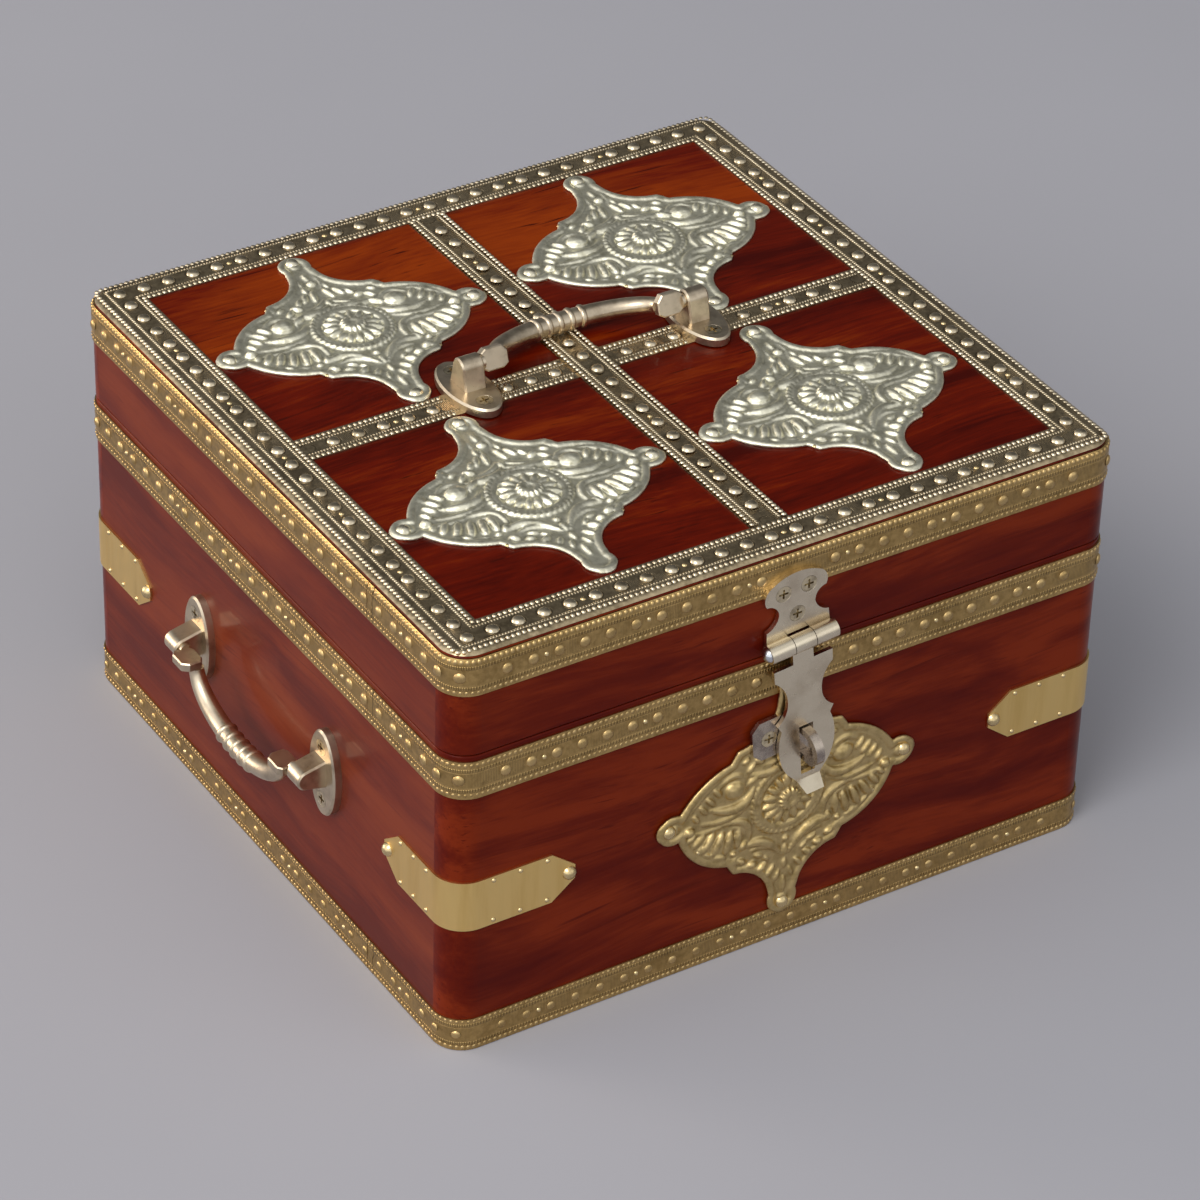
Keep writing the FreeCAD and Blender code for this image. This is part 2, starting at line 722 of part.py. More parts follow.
def leaf_plate(runs, across, along, back, thickness, crown):
    """A flat leaf that mirrors about x = 0: runs of shares, bottom to crown, two points a line and three an arc."""
    edges = []
    for side in (1, -1):
        for points in runs:
            corners = [Vec(side * a * across, back, b * along) for a, b in points]
            curve = Part.Arc(*corners) if len(corners) == 3 else Part.LineSegment(*corners)
            edges.append(curve.toShape())
    first, last = runs[0][0], runs[-1][-1]
    edges.append(Part.LineSegment(Vec(-first[0] * across, back, first[1] * along),
                                  Vec(first[0] * across, back, first[1] * along)).toShape())
    ends = [Vec(s * last[0] * across, back, last[1] * along) for s in (1, -1)]
    top = Vec(0, back, along)
    edges.append((Part.Arc(ends[0], top, ends[1]) if crown else Part.LineSegment(*ends)).toShape())
    return Part.Face(Part.Wire(Part.__sortEdges__(edges))).extrude(Vec(0, -thickness, 0))


def hasp_cylinder(radius, x0, x1):
    return Part.makeCylinder(radius, x1 - x0, Vec(x0, 0, 0), Vec(1, 0, 0))


def hasp_leaf():
    half = hasp_width / 2
    back = hasp_knuckle_radius
    plate = leaf_plate(leaf_shares, hasp_width, leaf_height, back, hasp_plate, True)
    shape = plate.fuse(hasp_cylinder(hasp_knuckle_radius, -half, half))
    notch = centre_knuckle_width / 2 + hasp_knuckle_gap
    reach = hasp_knuckle_radius + hasp_knuckle_gap
    shape = shape.cut(box(-notch, -reach, -reach, notch, back + overrun, reach))
    shape = shape.cut(hasp_cylinder(hasp_pin_radius + running_clearance, -half - overrun, half + overrun))
    return shape.removeSplitter()


def hasp_strap():
    half = hasp_strap_thickness / 2
    plate = leaf_plate(hasp_strap_shares, hasp_width, -hasp_strap_length, half, hasp_strap_thickness, False)
    knuckle = centre_knuckle_width / 2
    neck = box(-knuckle, -half, -hasp_strap_shares[0][1][1] * hasp_strap_length, knuckle, half, 0)
    start = -hasp_strap_shares[-1][-1][1] * hasp_strap_length
    wide = hasp_strap_shares[-1][-1][0] * hasp_width
    shape = plate.fuse([neck, hasp_cylinder(hasp_knuckle_radius, -knuckle, knuckle), hasp_lip(start, wide)])
    slot = slot_width / 2
    shape = shape.cut(box(-slot, -overrun - half, -slot_top - slot_length, slot, overrun + half, -slot_top))
    shape = shape.cut(hasp_cylinder(hasp_pin_radius + running_clearance, -knuckle - overrun, knuckle + overrun))
    return shape.removeSplitter()


def hasp_lip(start, wide):
    """The strap's end, bent outwards and narrowing."""
    half = hasp_strap_thickness / 2
    end = -hasp_strap_length
    narrow = wide * lip_end_share
    wires = []
    for z, y, reach in ((start, 0, wide), (end, -lip_reach, narrow)):
        corners = [Vec(-reach, y + half, z), Vec(reach, y + half, z), Vec(reach, y - half, z), Vec(-reach, y - half, z)]
        wires.append(Part.makePolygon(corners + corners[:1]))
    return Part.makeLoft(wires, True, True)


def hasp_pin():
    half = hasp_width / 2
    head = dome(hasp_pin_head_radius, hasp_pin_head_height)
    head.Placement = FreeCAD.Placement(Vec(-half - lay_gap, 0, 0), FreeCAD.Rotation(Vec(0, 0, 1), Vec(-1, 0, 0)))
    return hasp_cylinder(hasp_pin_radius, -half - lay_gap, half).fuse(head).removeSplitter()


def hasp_places(local_places):
    turn = FreeCAD.Rotation(Vec(0, 1, 0), hasp_lean)
    origin = Vec(hasp_across, hasp_axis_y, hasp_axis_z)
    return [(turn.multVec(p) + origin, Vec(0, -1, 0)) for p in local_places]


def hasp_screw_places():
    front = hasp_knuckle_radius - hasp_plate
    return hasp_places([Vec(a * hasp_width, front, b * leaf_height) for a, b in leaf_screw_shares])


staple_back = hasp_knuckle_radius - ornament_thickness - lay_gap
staple_front = staple_back - staple_thickness


def staple_plate():
    """An oblong plate with clipped corners and a tongue that carries the loop's lower leg."""
    half, rise, clip = staple_length / 2, staple_height / 2, staple_clip
    outline = [(-half + clip, -rise), (half - clip, -rise), (half, -rise + clip), (half, rise - clip),
               (half - clip, rise), (-half + clip, rise), (-half, rise - clip), (-half, -rise + clip)]
    points = [Vec(staple_shift + a, staple_back, b - staple_drop) for a, b in outline]
    plate = prism(points, Vec(0, -staple_thickness, 0))
    tongue = staple_tongue_width / 2
    low = -loop_drop - loop_height / 2 - loop_seat
    plate = plate.fuse(box(loop_shift - tongue, staple_front, low, loop_shift + tongue, staple_back, -staple_drop))
    return plate.cut([loop_leg(s) for s in (-1, 1)]).removeSplitter()


def loop_leg(side):
    """The square hole that one leg of the loop passes through."""
    grow = fastener_clearance
    x = loop_width / 2 + grow
    top = side * loop_height / 2 - loop_drop
    low, high = sorted((top, top - side * loop_bar))
    return box(loop_shift - x, staple_front - overrun, low - grow, loop_shift + x, staple_back + overrun, high + grow)


def staple_loop():
    """A flat bar bent to a D, its legs let through the plate."""
    front = staple_front - loop_reach
    outer = bow(staple_back, front, loop_height / 2)
    inner = bow(staple_back + overrun, front + loop_bar, loop_height / 2 - loop_bar)
    return outer.cut(inner)


def bow(back, front, rise):
    """A prism whose outline is square at the back and round in front."""
    x = loop_shift - loop_width / 2
    low, high, middle = -loop_drop - rise, -loop_drop + rise, -loop_drop
    start = front + rise
    wire = Part.Wire([Part.LineSegment(Vec(x, back, low), Vec(x, start, low)).toShape(),
                      Part.Arc(Vec(x, start, low), Vec(x, front, middle), Vec(x, start, high)).toShape(),
                      Part.LineSegment(Vec(x, start, high), Vec(x, back, high)).toShape(),
                      Part.LineSegment(Vec(x, back, high), Vec(x, back, low)).toShape()])
    return Part.Face(wire).extrude(Vec(loop_width, 0, 0))


def staple_screw_places():
    return hasp_places([Vec(staple_shift + a * staple_length, staple_front, -staple_drop)
                        for a in staple_screw_shares])


# Hinges, modelled about their pin: x along it, y to the rear, z up

def hinge_cylinder(radius, x0, x1):
    return Part.makeCylinder(radius, x1 - x0, Vec(x0, 0, 0), Vec(1, 0, 0))


def hinge_leaf(upper):
    """One leaf with its share of the knuckles; the other leaf's knuckles are notched out."""
    half = hinge_length / 2
    front = -hinge_knuckle_radius
    low, high = (0, hinge_leaf_height) if upper else (-hinge_leaf_height, 0)
    plate = box(-half, front, low, half, front + hinge_plate, high)
    shape = plate.fuse(hinge_cylinder(hinge_knuckle_radius, -half, half))
    pitch = hinge_length / hinge_knuckle_count
    reach = hinge_knuckle_radius + hinge_knuckle_gap
    for i in range(hinge_knuckle_count):
        mine = (i % 2 == 1) == upper
        if not mine:
            x0 = -half + i * pitch - hinge_knuckle_gap / 2
            x1 = x0 + pitch + hinge_knuckle_gap
            shape = shape.cut(box(x0, -reach, -reach, x1, reach, reach))
    shape = shape.cut(hinge_cylinder(hinge_pin_radius + running_clearance, -half - overrun, half + overrun))
    return shape.removeSplitter()


def hinge_pin():
    half = hinge_length / 2
    shape = hinge_cylinder(hinge_pin_radius, -half - lay_gap, half + lay_gap)
    for s in (-1, 1):
        cap = dome(hinge_pin_head, hinge_pin_cap)
        cap.Placement = FreeCAD.Placement(Vec(s * (half + lay_gap), 0, 0),
                                          FreeCAD.Rotation(Vec(0, 0, 1), Vec(s, 0, 0)))
        shape = shape.fuse(cap)
    return shape.removeSplitter()


def at_hinge(shape, side):
    moved = shape.copy()
    moved.translate(Vec(side * hinge_spacing / 2, hinge_axis_y, hinge_axis_z))
    return moved


def hinge_screw_places(upper):
    run = hinge_length / 2 - hinge_screw_margin
    rise = hinge_leaf_height * hinge_screw_share * (1 if upper else -1)
    y = hinge_axis_y - hinge_knuckle_radius + hinge_plate
    places = []
    for side in (-1, 1):
        for i in range(hinge_screw_count):
            x = side * hinge_spacing / 2 + run * (2.0 * i / (hinge_screw_count - 1) - 1)
            places.append((Vec(x, y, hinge_axis_z + rise), Vec(0, 1, 0)))
    return places


# The whole chest

def collect_handles(nodes, drills):
    ends = {"top": ("left", "right"), "left": ("rear", "front"), "right": ("front", "rear")}
    side_screws = []
    for name, (posts, swung, places) in handles().items():
        for end, post in zip(ends[name], posts):
            nodes["%s_handle_%s_post" % (name, end)] = post
        nodes["%s_handle_bail" % name] = swung
        if name == "top":
            add_fasteners(nodes, drills, "top_handle_screws", "screw", places)
        else:
            side_screws += places
    add_fasteners(nodes, drills, "side_handle_screws", "screw", side_screws)


def collect_ornaments(nodes, drills, pins):
    """Adds the ornaments; their pins join the other pins of the lid or of the body."""
    frames = ornament_frames()
    lid_nails, front_nails = [], []
    for name, frame in frames.items():
        on_front = name == "front_ornament"
        sag = front_ornament_sag if on_front else 0
        fall = front_ornament_fall if on_front else ornament_reach
        nodes[name] = placed(ornament(sag, fall), *frame)
        nail_places, pin_places = ornament_fastener_places(frame, fall, name == "lid_ornament_front_left")
        if on_front:
            front_nails += [n for n in nail_places if n[0].z < rim_band_top - strip_width]
            pins["body_pins"] += [p for p in pin_places if p[0].z < front_ornament_height]
        else:
            lid_nails += nail_places
            pins["lid_pins"] += pin_places
    add_fasteners(nodes, drills, "front_ornament_nails", "nail", front_nails)
    add_fasteners(nodes, drills, "lid_ornament_nails", "nail", lid_nails)


def collect_straps(nodes, drills):
    nails, pins = [], []
    for name, values in straps.items():
        nodes[name] = corner_strap(*values)
        more_nails, more_pins = strap_fastener_places(*values)
        nails += more_nails
        pins += more_pins
    add_fasteners(nodes, drills, "corner_strap_nails", "nail", nails)
    add_fasteners(nodes, drills, "corner_strap_pins", "pin", pins)


def clear_of(places, blocked):
    """Leaves out the pins that would lie under a plate."""
    kept = []
    for place, out in places:
        if not any(b.isInside(place) for b in blocked):
            kept.append((place, out))
    return kept


def collect_strips(nodes, pins, blocked):
    skin = lid_skin()
    nodes["body_rim_band"] = body_band(rim_band_top - strip_width, rim_band_top)
    nodes["body_base_band"] = body_band(base_band_lift, base_band_height)
    nodes["lid_side_band"] = lid_side_band(skin)
    nodes.update(frame_strips(skin))
    nodes.update(cross_strips())
    body_places = band_pin_places(rim_band_top - strip_width / 2)
    body_places += band_pin_places((base_band_height + base_band_lift) / 2)
    pins["body_pins"] += clear_of(body_places, blocked)
    lid_places = band_pin_places(lid_band_bottom + strip_width / 2) + top_pin_places()
    pins["lid_pins"] += clear_of(lid_places, blocked)


def collect_hasp(nodes, drills):
    nodes["hasp_leaf"] = leaned(hasp_leaf())
    nodes["hasp_pin"] = leaned(hasp_pin())
    nodes["hasp_strap"] = leaned(hasp_strap())
    nodes["staple_plate"] = leaned(staple_plate())
    nodes["staple_loop"] = leaned(staple_loop())
    add_fasteners(nodes, drills, "hasp_screws", "screw", hasp_screw_places())
    add_fasteners(nodes, drills, "staple_screws", "screw", staple_screw_places())


def collect_hinges(nodes, drills):
    for side, name in ((-1, "left"), (1, "right")):
        nodes["%s_hinge_body_leaf" % name] = at_hinge(hinge_leaf(False), side)
        nodes["%s_hinge_lid_leaf" % name] = at_hinge(hinge_leaf(True), side)
    nodes["hinge_pins"] = Part.Compound([at_hinge(hinge_pin(), s) for s in (-1, 1)])
    add_fasteners(nodes, drills, "hinge_body_screws", "screw", hinge_screw_places(False))
    add_fasteners(nodes, drills, "hinge_lid_screws", "screw", hinge_screw_places(True))


def add_fasteners(nodes, drills, name, kind, places):
    """Puts alike fasteners in one node, and their drills with the others."""
    solids, cuts = fasteners(kind, places)
    nodes[name] = Part.Compound(solids)
    drills += cuts


def grown_bounds(shape):
    bounds = shape.BoundBox
    bounds.enlarge(pin_head_radius + overrun)
    return bounds


undrilled = ("screws", "pins", "nails", "_bail", "_pin", "staple_loop")


def build():
    nodes, drills = {}, []
    pins = {"body_pins": [], "lid_pins": []}
    nodes.update(body_boards())
    nodes.update(lid_boards())
    collect_hasp(nodes, drills)
    collect_hinges(nodes, drills)
    collect_handles(nodes, drills)
    collect_ornaments(nodes, drills, pins)
    collect_straps(nodes, drills)
    names = [n for n in nodes if "hasp_" in n or "hinge_" in n or "_post" in n or n == "front_ornament"]
    collect_strips(nodes, pins, [grown_bounds(nodes[n]) for n in names])
    for name, places in pins.items():
        add_fasteners(nodes, drills, name, "pin", places)
    for name in nodes:
        if not name.endswith(undrilled):
            nodes[name] = drilled(nodes[name], drills)
    return nodes


def export(nodes):
    os.makedirs("parts", exist_ok=True)
    for name, shape in nodes.items():
        shape.exportStep("parts/%s.step" % name)
        print("%-28s solids %3d volume %12.2f valid %s" % (name, len(shape.Solids), shape.Volume, shape.isValid()))
    print("nodes", len(nodes))


export(build())
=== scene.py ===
import json
import math
import bpy
from mathutils import Matrix, Vector

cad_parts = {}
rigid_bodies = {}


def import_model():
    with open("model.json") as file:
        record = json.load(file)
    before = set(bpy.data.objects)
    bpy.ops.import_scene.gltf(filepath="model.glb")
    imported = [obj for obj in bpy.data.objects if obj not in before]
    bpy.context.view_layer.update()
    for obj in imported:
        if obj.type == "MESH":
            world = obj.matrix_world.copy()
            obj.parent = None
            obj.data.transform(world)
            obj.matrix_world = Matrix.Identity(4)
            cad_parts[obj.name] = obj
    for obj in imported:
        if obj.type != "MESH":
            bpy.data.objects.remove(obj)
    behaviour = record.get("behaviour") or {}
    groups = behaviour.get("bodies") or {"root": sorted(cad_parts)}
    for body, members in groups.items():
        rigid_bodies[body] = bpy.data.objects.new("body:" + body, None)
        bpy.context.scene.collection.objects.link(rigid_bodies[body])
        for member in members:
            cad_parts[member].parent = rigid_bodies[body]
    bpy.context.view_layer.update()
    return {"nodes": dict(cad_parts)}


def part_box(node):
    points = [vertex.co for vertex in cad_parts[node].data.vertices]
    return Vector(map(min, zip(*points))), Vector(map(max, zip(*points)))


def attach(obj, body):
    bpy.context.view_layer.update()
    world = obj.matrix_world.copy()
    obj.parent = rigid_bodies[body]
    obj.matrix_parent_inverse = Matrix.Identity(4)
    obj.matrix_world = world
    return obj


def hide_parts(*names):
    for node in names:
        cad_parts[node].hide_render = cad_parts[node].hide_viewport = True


bpy.ops.object.select_all(action="SELECT")
bpy.ops.object.delete()
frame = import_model()
mm = 0.001


# Working habits: every operator acts on what is picked here

def deselect():
    if bpy.context.object and bpy.context.object.mode != "OBJECT":
        bpy.ops.object.mode_set(mode="OBJECT")
    bpy.ops.object.select_all(action="DESELECT")


def pick(*objs):
    deselect()
    for obj in objs:
        obj.select_set(True)
    bpy.context.view_layer.objects.active = objs[0]


def settle(obj):
    pick(obj)
    bpy.ops.object.transform_apply(location=True, rotation=True, scale=True)
    return obj


def applyModifiers(obj):
    pick(obj)
    for modifier in list(obj.modifiers):
        bpy.ops.object.modifier_apply(modifier=modifier.name)


def copyOf(obj, name):
    new = obj.copy()
    new.data = obj.data.copy()
    new.name = name
    bpy.context.collection.objects.link(new)
    return new


def joinAll(name, objs):
    pick(*objs)
    if len(objs) > 1:
        bpy.ops.object.join()
    objs[0].name = name
    return objs[0]


def discard(*objs):
    pick(*objs)
    bpy.ops.object.delete()


def copiesAt(model, name, matrices):
    parts = []
    for number, matrix in enumerate(matrices):
        part = copyOf(model, f"{name}{number}")
        part.matrix_world = matrix
        parts.append(part)
    return settle(joinAll(name, parts))


# Node trees

def addNode(tree, kind, sockets=None, **settings):
    node = tree.nodes.new(kind)
    for key, value in settings.items():
        setattr(node, key, value)
    for key, value in (sockets or {}).items():
        if isinstance(value, bpy.types.NodeSocket):
            tree.links.new(value, node.inputs[key])
        else:
            node.inputs[key].default_value = value
    return node


def calc(tree, operation, a, b=0.0, c=0.0):
    node = addNode(tree, "ShaderNodeMath", {0: a, 1: b}, operation=operation)
    if operation == "MULTIPLY_ADD":
        node.inputs[2].default_value = c
    return node.outputs[0]


def plus(tree, a, b):
    return calc(tree, "ADD", a, b)


def minus(tree, a, b):
    return calc(tree, "SUBTRACT", a, b)


def times(tree, a, b):
    return calc(tree, "MULTIPLY", a, b)


def unsigned(tree, a):
    return calc(tree, "ABSOLUTE", a)


def fade(tree, value, start, end):
    node = addNode(tree, "ShaderNodeMapRange", {0: value, 1: start, 2: end, 3: 0.0, 4: 1.0},
                   interpolation_type="SMOOTHSTEP")
    return node.outputs[0]


def fadeOut(tree, value, start, end):
    return minus(tree, 1.0, fade(tree, value, start, end))


def mixColour(tree, factor, a, b):
    node = addNode(tree, "ShaderNodeMix", {"Factor": factor}, data_type="RGBA")
    for socket, value in ((node.inputs[6], a), (node.inputs[7], b)):
        if isinstance(value, bpy.types.NodeSocket):
            tree.links.new(value, socket)
        else:
            socket.default_value = (*value, 1.0)
    return node.outputs[2]


def noise(tree, vector, scale, detail=4.0, roughness=0.5, distortion=0.0):
    node = addNode(tree, "ShaderNodeTexNoise", {"Vector": vector, "Scale": scale, "Detail": detail,
                                                "Roughness": roughness, "Distortion": distortion})
    return node.outputs["Fac"]


def newMaterial(name):
    material = bpy.data.materials.new(name)
    material.use_nodes = True
    tree = material.node_tree
    return material, tree, tree.nodes["Principled BSDF"]


def objectPlace(tree):
    return addNode(tree, "ShaderNodeTexCoord").outputs["Object"]


def bumpInto(tree, shader, height, distance, strength=1.0, before=None):
    sockets = {"Height": height, "Distance": distance, "Strength": strength}
    if before:
        sockets["Normal"] = before
    normal = addNode(tree, "ShaderNodeBump", sockets).outputs[0]
    tree.links.new(normal, shader.inputs["Normal"])
    return normal


# Stained wood under lacquer, its grain along one axis

woodLooks = {
    "streak": 30.0, "streakStretch": 0.022, "pore": 420.0, "poreEdge": (0.26, 0.40), "poreDepth": 0.05,
    "fibre": 620.0, "fibreStretch": 0.09, "fibreShare": 0.18, "warpScale": 7.0, "warp": 0.03,
    "ripple": 38.0, "rippleDepth": 0.25, "coat": 0.3, "coatRoughness": 0.05, "roughness": 0.32, "glossSpan": 0.16,
    "refraction": 1.15,
    # the last entry of each look is a painted light slope along x, y and z, which makes the wood lighter by position
    "top": {"dark": (0.048, 0.0017, 0.0002), "middle": (0.112, 0.0058, 0.0003), "light": (0.240, 0.031, 0.0009),
            "cloud": 8.0, "cloudStretch": 0.36, "cloudShare": 0.34, "poreShade": 0.42, "stops": (0.48, 0.59, 0.74),
            "paintedLightSlope": (0.0, 0.20, 0.0)},
    "front": {"dark": (0.072, 0.0042, 0.0016), "middle": (0.104, 0.0082, 0.0018), "light": (0.164, 0.0180, 0.0032),
              "cloud": 50.0, "cloudStretch": 0.24, "cloudShare": 0.48, "poreShade": 0.8, "stops": (0.52, 0.63, 0.75),
              "paintedLightSlope": (-0.08, 0.0, 0.36)},
    "side": {"dark": (0.086, 0.0108, 0.0062), "middle": (0.126, 0.0178, 0.0072), "light": (0.166, 0.0280, 0.0092),
             "cloud": 30.0, "cloudStretch": 0.26, "cloudShare": 0.44, "poreShade": 0.85, "stops": (0.51, 0.61, 0.73),
             "paintedLightSlope": (0.0, 0.0, 0.20)},
}


def woodFinish(name, looks, grain):
    material, tree, shader = newMaterial(name)
    place = objectPlace(tree)
    drift = addNode(tree, "ShaderNodeTexNoise",
                    {"Vector": place, "Scale": woodLooks["warpScale"], "Detail": 1.0})
    warp = (woodLooks["warp"],) * 3
    wavy = addNode(tree, "ShaderNodeVectorMath", {0: drift.outputs["Color"], 1: warp, 2: place},
                   operation="MULTIPLY_ADD").outputs[0]

    def stretched(share):
        scale = {"x": (share, 1.0, 1.0), "y": (1.0, share, 1.0)}[grain]
        return addNode(tree, "ShaderNodeMapping", {"Vector": wavy, "Scale": scale}).outputs[0]

    along = stretched(woodLooks["streakStretch"])
    streaks = noise(tree, along, woodLooks["streak"], 4.0, 0.55, 0.9)
    fine = noise(tree, along, woodLooks["pore"], 2.0, 0.6)
    fibres = noise(tree, stretched(woodLooks["fibreStretch"]), woodLooks["fibre"], 2.0, 0.6)
    clouds = noise(tree, stretched(looks["cloudStretch"]), looks["cloud"], 2.0, 0.5, 1.2)
    share = looks["cloudShare"]
    value = plus(tree, times(tree, streaks, 1 - share), times(tree, clouds, share))
    value = plus(tree, value, times(tree, fibres, woodLooks["fibreShare"]))
    # the ramp is shifted by position, so the wood is lighter towards the rear of the lid's top and towards the top of
    # the front and sides: a painted light gradient
    paintedLightShift = addNode(tree, "ShaderNodeVectorMath", {0: place, 1: looks["paintedLightSlope"]}, operation="DOT_PRODUCT")
    value = plus(tree, value, paintedLightShift.outputs["Value"])
    ramp = addNode(tree, "ShaderNodeValToRGB", {0: value})
    first, last = ramp.color_ramp.elements
    first.position, centre, last.position = looks["stops"]
    first.color, last.color = (*looks["dark"], 1), (*looks["light"], 1)
    ramp.color_ramp.elements.new(centre).color = (*looks["middle"], 1)
    pores = fade(tree, fine, *woodLooks["poreEdge"])
    colour = mixColour(tree, pores, tuple(looks["poreShade"] * v for v in looks["middle"]), ramp.outputs[0])
    tree.links.new(colour, shader.inputs["Base Color"])
    span = woodLooks["glossSpan"]
    gloss = calc(tree, "MULTIPLY_ADD", streaks, span, woodLooks["roughness"] - span / 2)
    tree.links.new(gloss, shader.inputs["Roughness"])
    shader.inputs["IOR"].default_value = woodLooks["refraction"]
    shader.inputs["Coat IOR"].default_value = woodLooks["refraction"]
    shader.inputs["Coat Weight"].default_value = woodLooks["coat"]
    shader.inputs["Coat Roughness"].default_value = woodLooks["coatRoughness"]
    ripple = noise(tree, place, woodLooks["ripple"], 2.0)
    broad = bumpInto(tree, shader, ripple, woodLooks["rippleDepth"] * mm, 0.5)
    bumpInto(tree, shader, fine, woodLooks["poreDepth"] * mm, 0.5, broad)
    return material


woodTop = woodFinish("woodTop", woodLooks["top"], "x")
woodFront = woodFinish("woodFront", woodLooks["front"], "x")
woodSide = woodFinish("woodSide", woodLooks["side"], "y")


# Plain metals

metalLooks = {
    "mottle": 6, "mottleShare": 0.3, "mottleDepth": 0.02, "grimeEdge": (0.13, 0.17), "roughSpan": 0.22,
    "recessEdge": (0.41, 0.49), "recessPatinaAndShade": 0.45,
}


def metalFinish(name, colour, shade, roughness, wave=60.0, waveRise=0.10, grime=0.45, recess=False, grain=1.0,
                lay=(1.0, 1.0, 1.0)):
    material, tree, shader = newMaterial(name)
    place = addNode(tree, "ShaderNodeMapping", {"Vector": objectPlace(tree), "Scale": lay}).outputs[0]
    shader.inputs["Metallic"].default_value = 1.0
    stain = noise(tree, place, wave, 5.0, 0.6)
    mottle = noise(tree, place, wave * metalLooks["mottle"], 3.0, 0.6)
    share = metalLooks["mottleShare"] * grain
    before, after = metalLooks["grimeEdge"]
    mixed = plus(tree, times(tree, stain, 1 - share), times(tree, mottle, share))
    base = mixColour(tree, fade(tree, mixed, grime - before, grime + after), shade, colour)
    # darker in the hollows, by pointiness: partly the patina in them, partly painted shade
    if recess:
        point = addNode(tree, "ShaderNodeNewGeometry").outputs["Pointiness"]
        hollowPatinaAndShade = tuple(metalLooks["recessPatinaAndShade"] * v for v in shade)
        base = mixColour(tree, fade(tree, point, *metalLooks["recessEdge"]), hollowPatinaAndShade, base)
    tree.links.new(base, shader.inputs["Base Color"])
    span = metalLooks["roughSpan"]
    rough = calc(tree, "MULTIPLY_ADD", mottle, span, roughness - span / 2)
    tree.links.new(rough, shader.inputs["Roughness"])
    first = bumpInto(tree, shader, noise(tree, place, wave, 2.0), waveRise * mm, 1.0)
    bumpInto(tree, shader, mottle, metalLooks["mottleDepth"] * grain * mm, 0.6, first)
    return material


# Embossed strips, with fine rows between their edge beads and the domes

stripLooks = {
    "domePitch": 11.25, "finePitch": 1.3, "hatchPitch": 0.7, "fineHalf": 0.75, "fineRise": 0.26,
    "mottle": 420.0, "patch": 34.0, "patchEdge": (0.44, 0.58), "dirtEdge": (0.30, 0.62), "roughSpan": 0.24,
    "moatRadius": 3.0, "moatEdge": (0.1, 0.6), "grooveShade": 0.45, "grooveShare": 0.28, "hatchDepth": 0.22,
    "lapAt": -91.0, "lapHalf": 0.3, "lapScale": 160.0, "lapWave": 3.0, "lapShade": 0.85, "lapDepth": 2.0,
    # fine is the colour of the painted highlight on the crests of the fine rows
    "top": {"colour": (0.66, 0.52, 0.32), "shade": (0.34, 0.26, 0.15), "fine": (0.80, 0.70, 0.50), "ribHighlightShare": 0.3,
            "moatGrooveAndShade": 0.6, "hatch": 0.16, "wave": 170.0, "waveRise": 0.55, "roughness": 0.21},
    "band": {"colour": (0.56, 0.375, 0.148), "shade": (0.33, 0.21, 0.072), "fine": (0.58, 0.41, 0.18),
             "ribHighlightShare": 0.3, "moatGrooveAndShade": 0.12, "hatch": 0.24, "wave": 90.0, "waveRise": 0.40, "roughness": 0.36},
}


def roundTheBox(tree, place, x, y):
    aside, back = unsigned(tree, x), unsigned(tree, y)
    run = plus(tree, minus(tree, aside, back), 1000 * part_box("front_board")[1].x - 1.9)
    past = calc(tree, "MINIMUM", minus(tree, aside, bandFace[0] - bandRadius),
                minus(tree, back, bandFace[1] - bandRadius))
    straight = calc(tree, "LESS_THAN", past, 0.0)
    # on the left the band's ends lap, and a crooked crack shows there
    wave = stripLooks["lapWave"]
    crooked = times(tree, noise(tree, place, stripLooks["lapScale"], 2.0), wave)
    fromLap = unsigned(tree, plus(tree, y, minus(tree, crooked, wave / 2 + stripLooks["lapAt"])))
    crack = fadeOut(tree, fromLap, stripLooks["lapHalf"] - 0.2, stripLooks["lapHalf"] + 0.25)
    return run, straight, times(tree, crack, calc(tree, "LESS_THAN", x, 0.0))


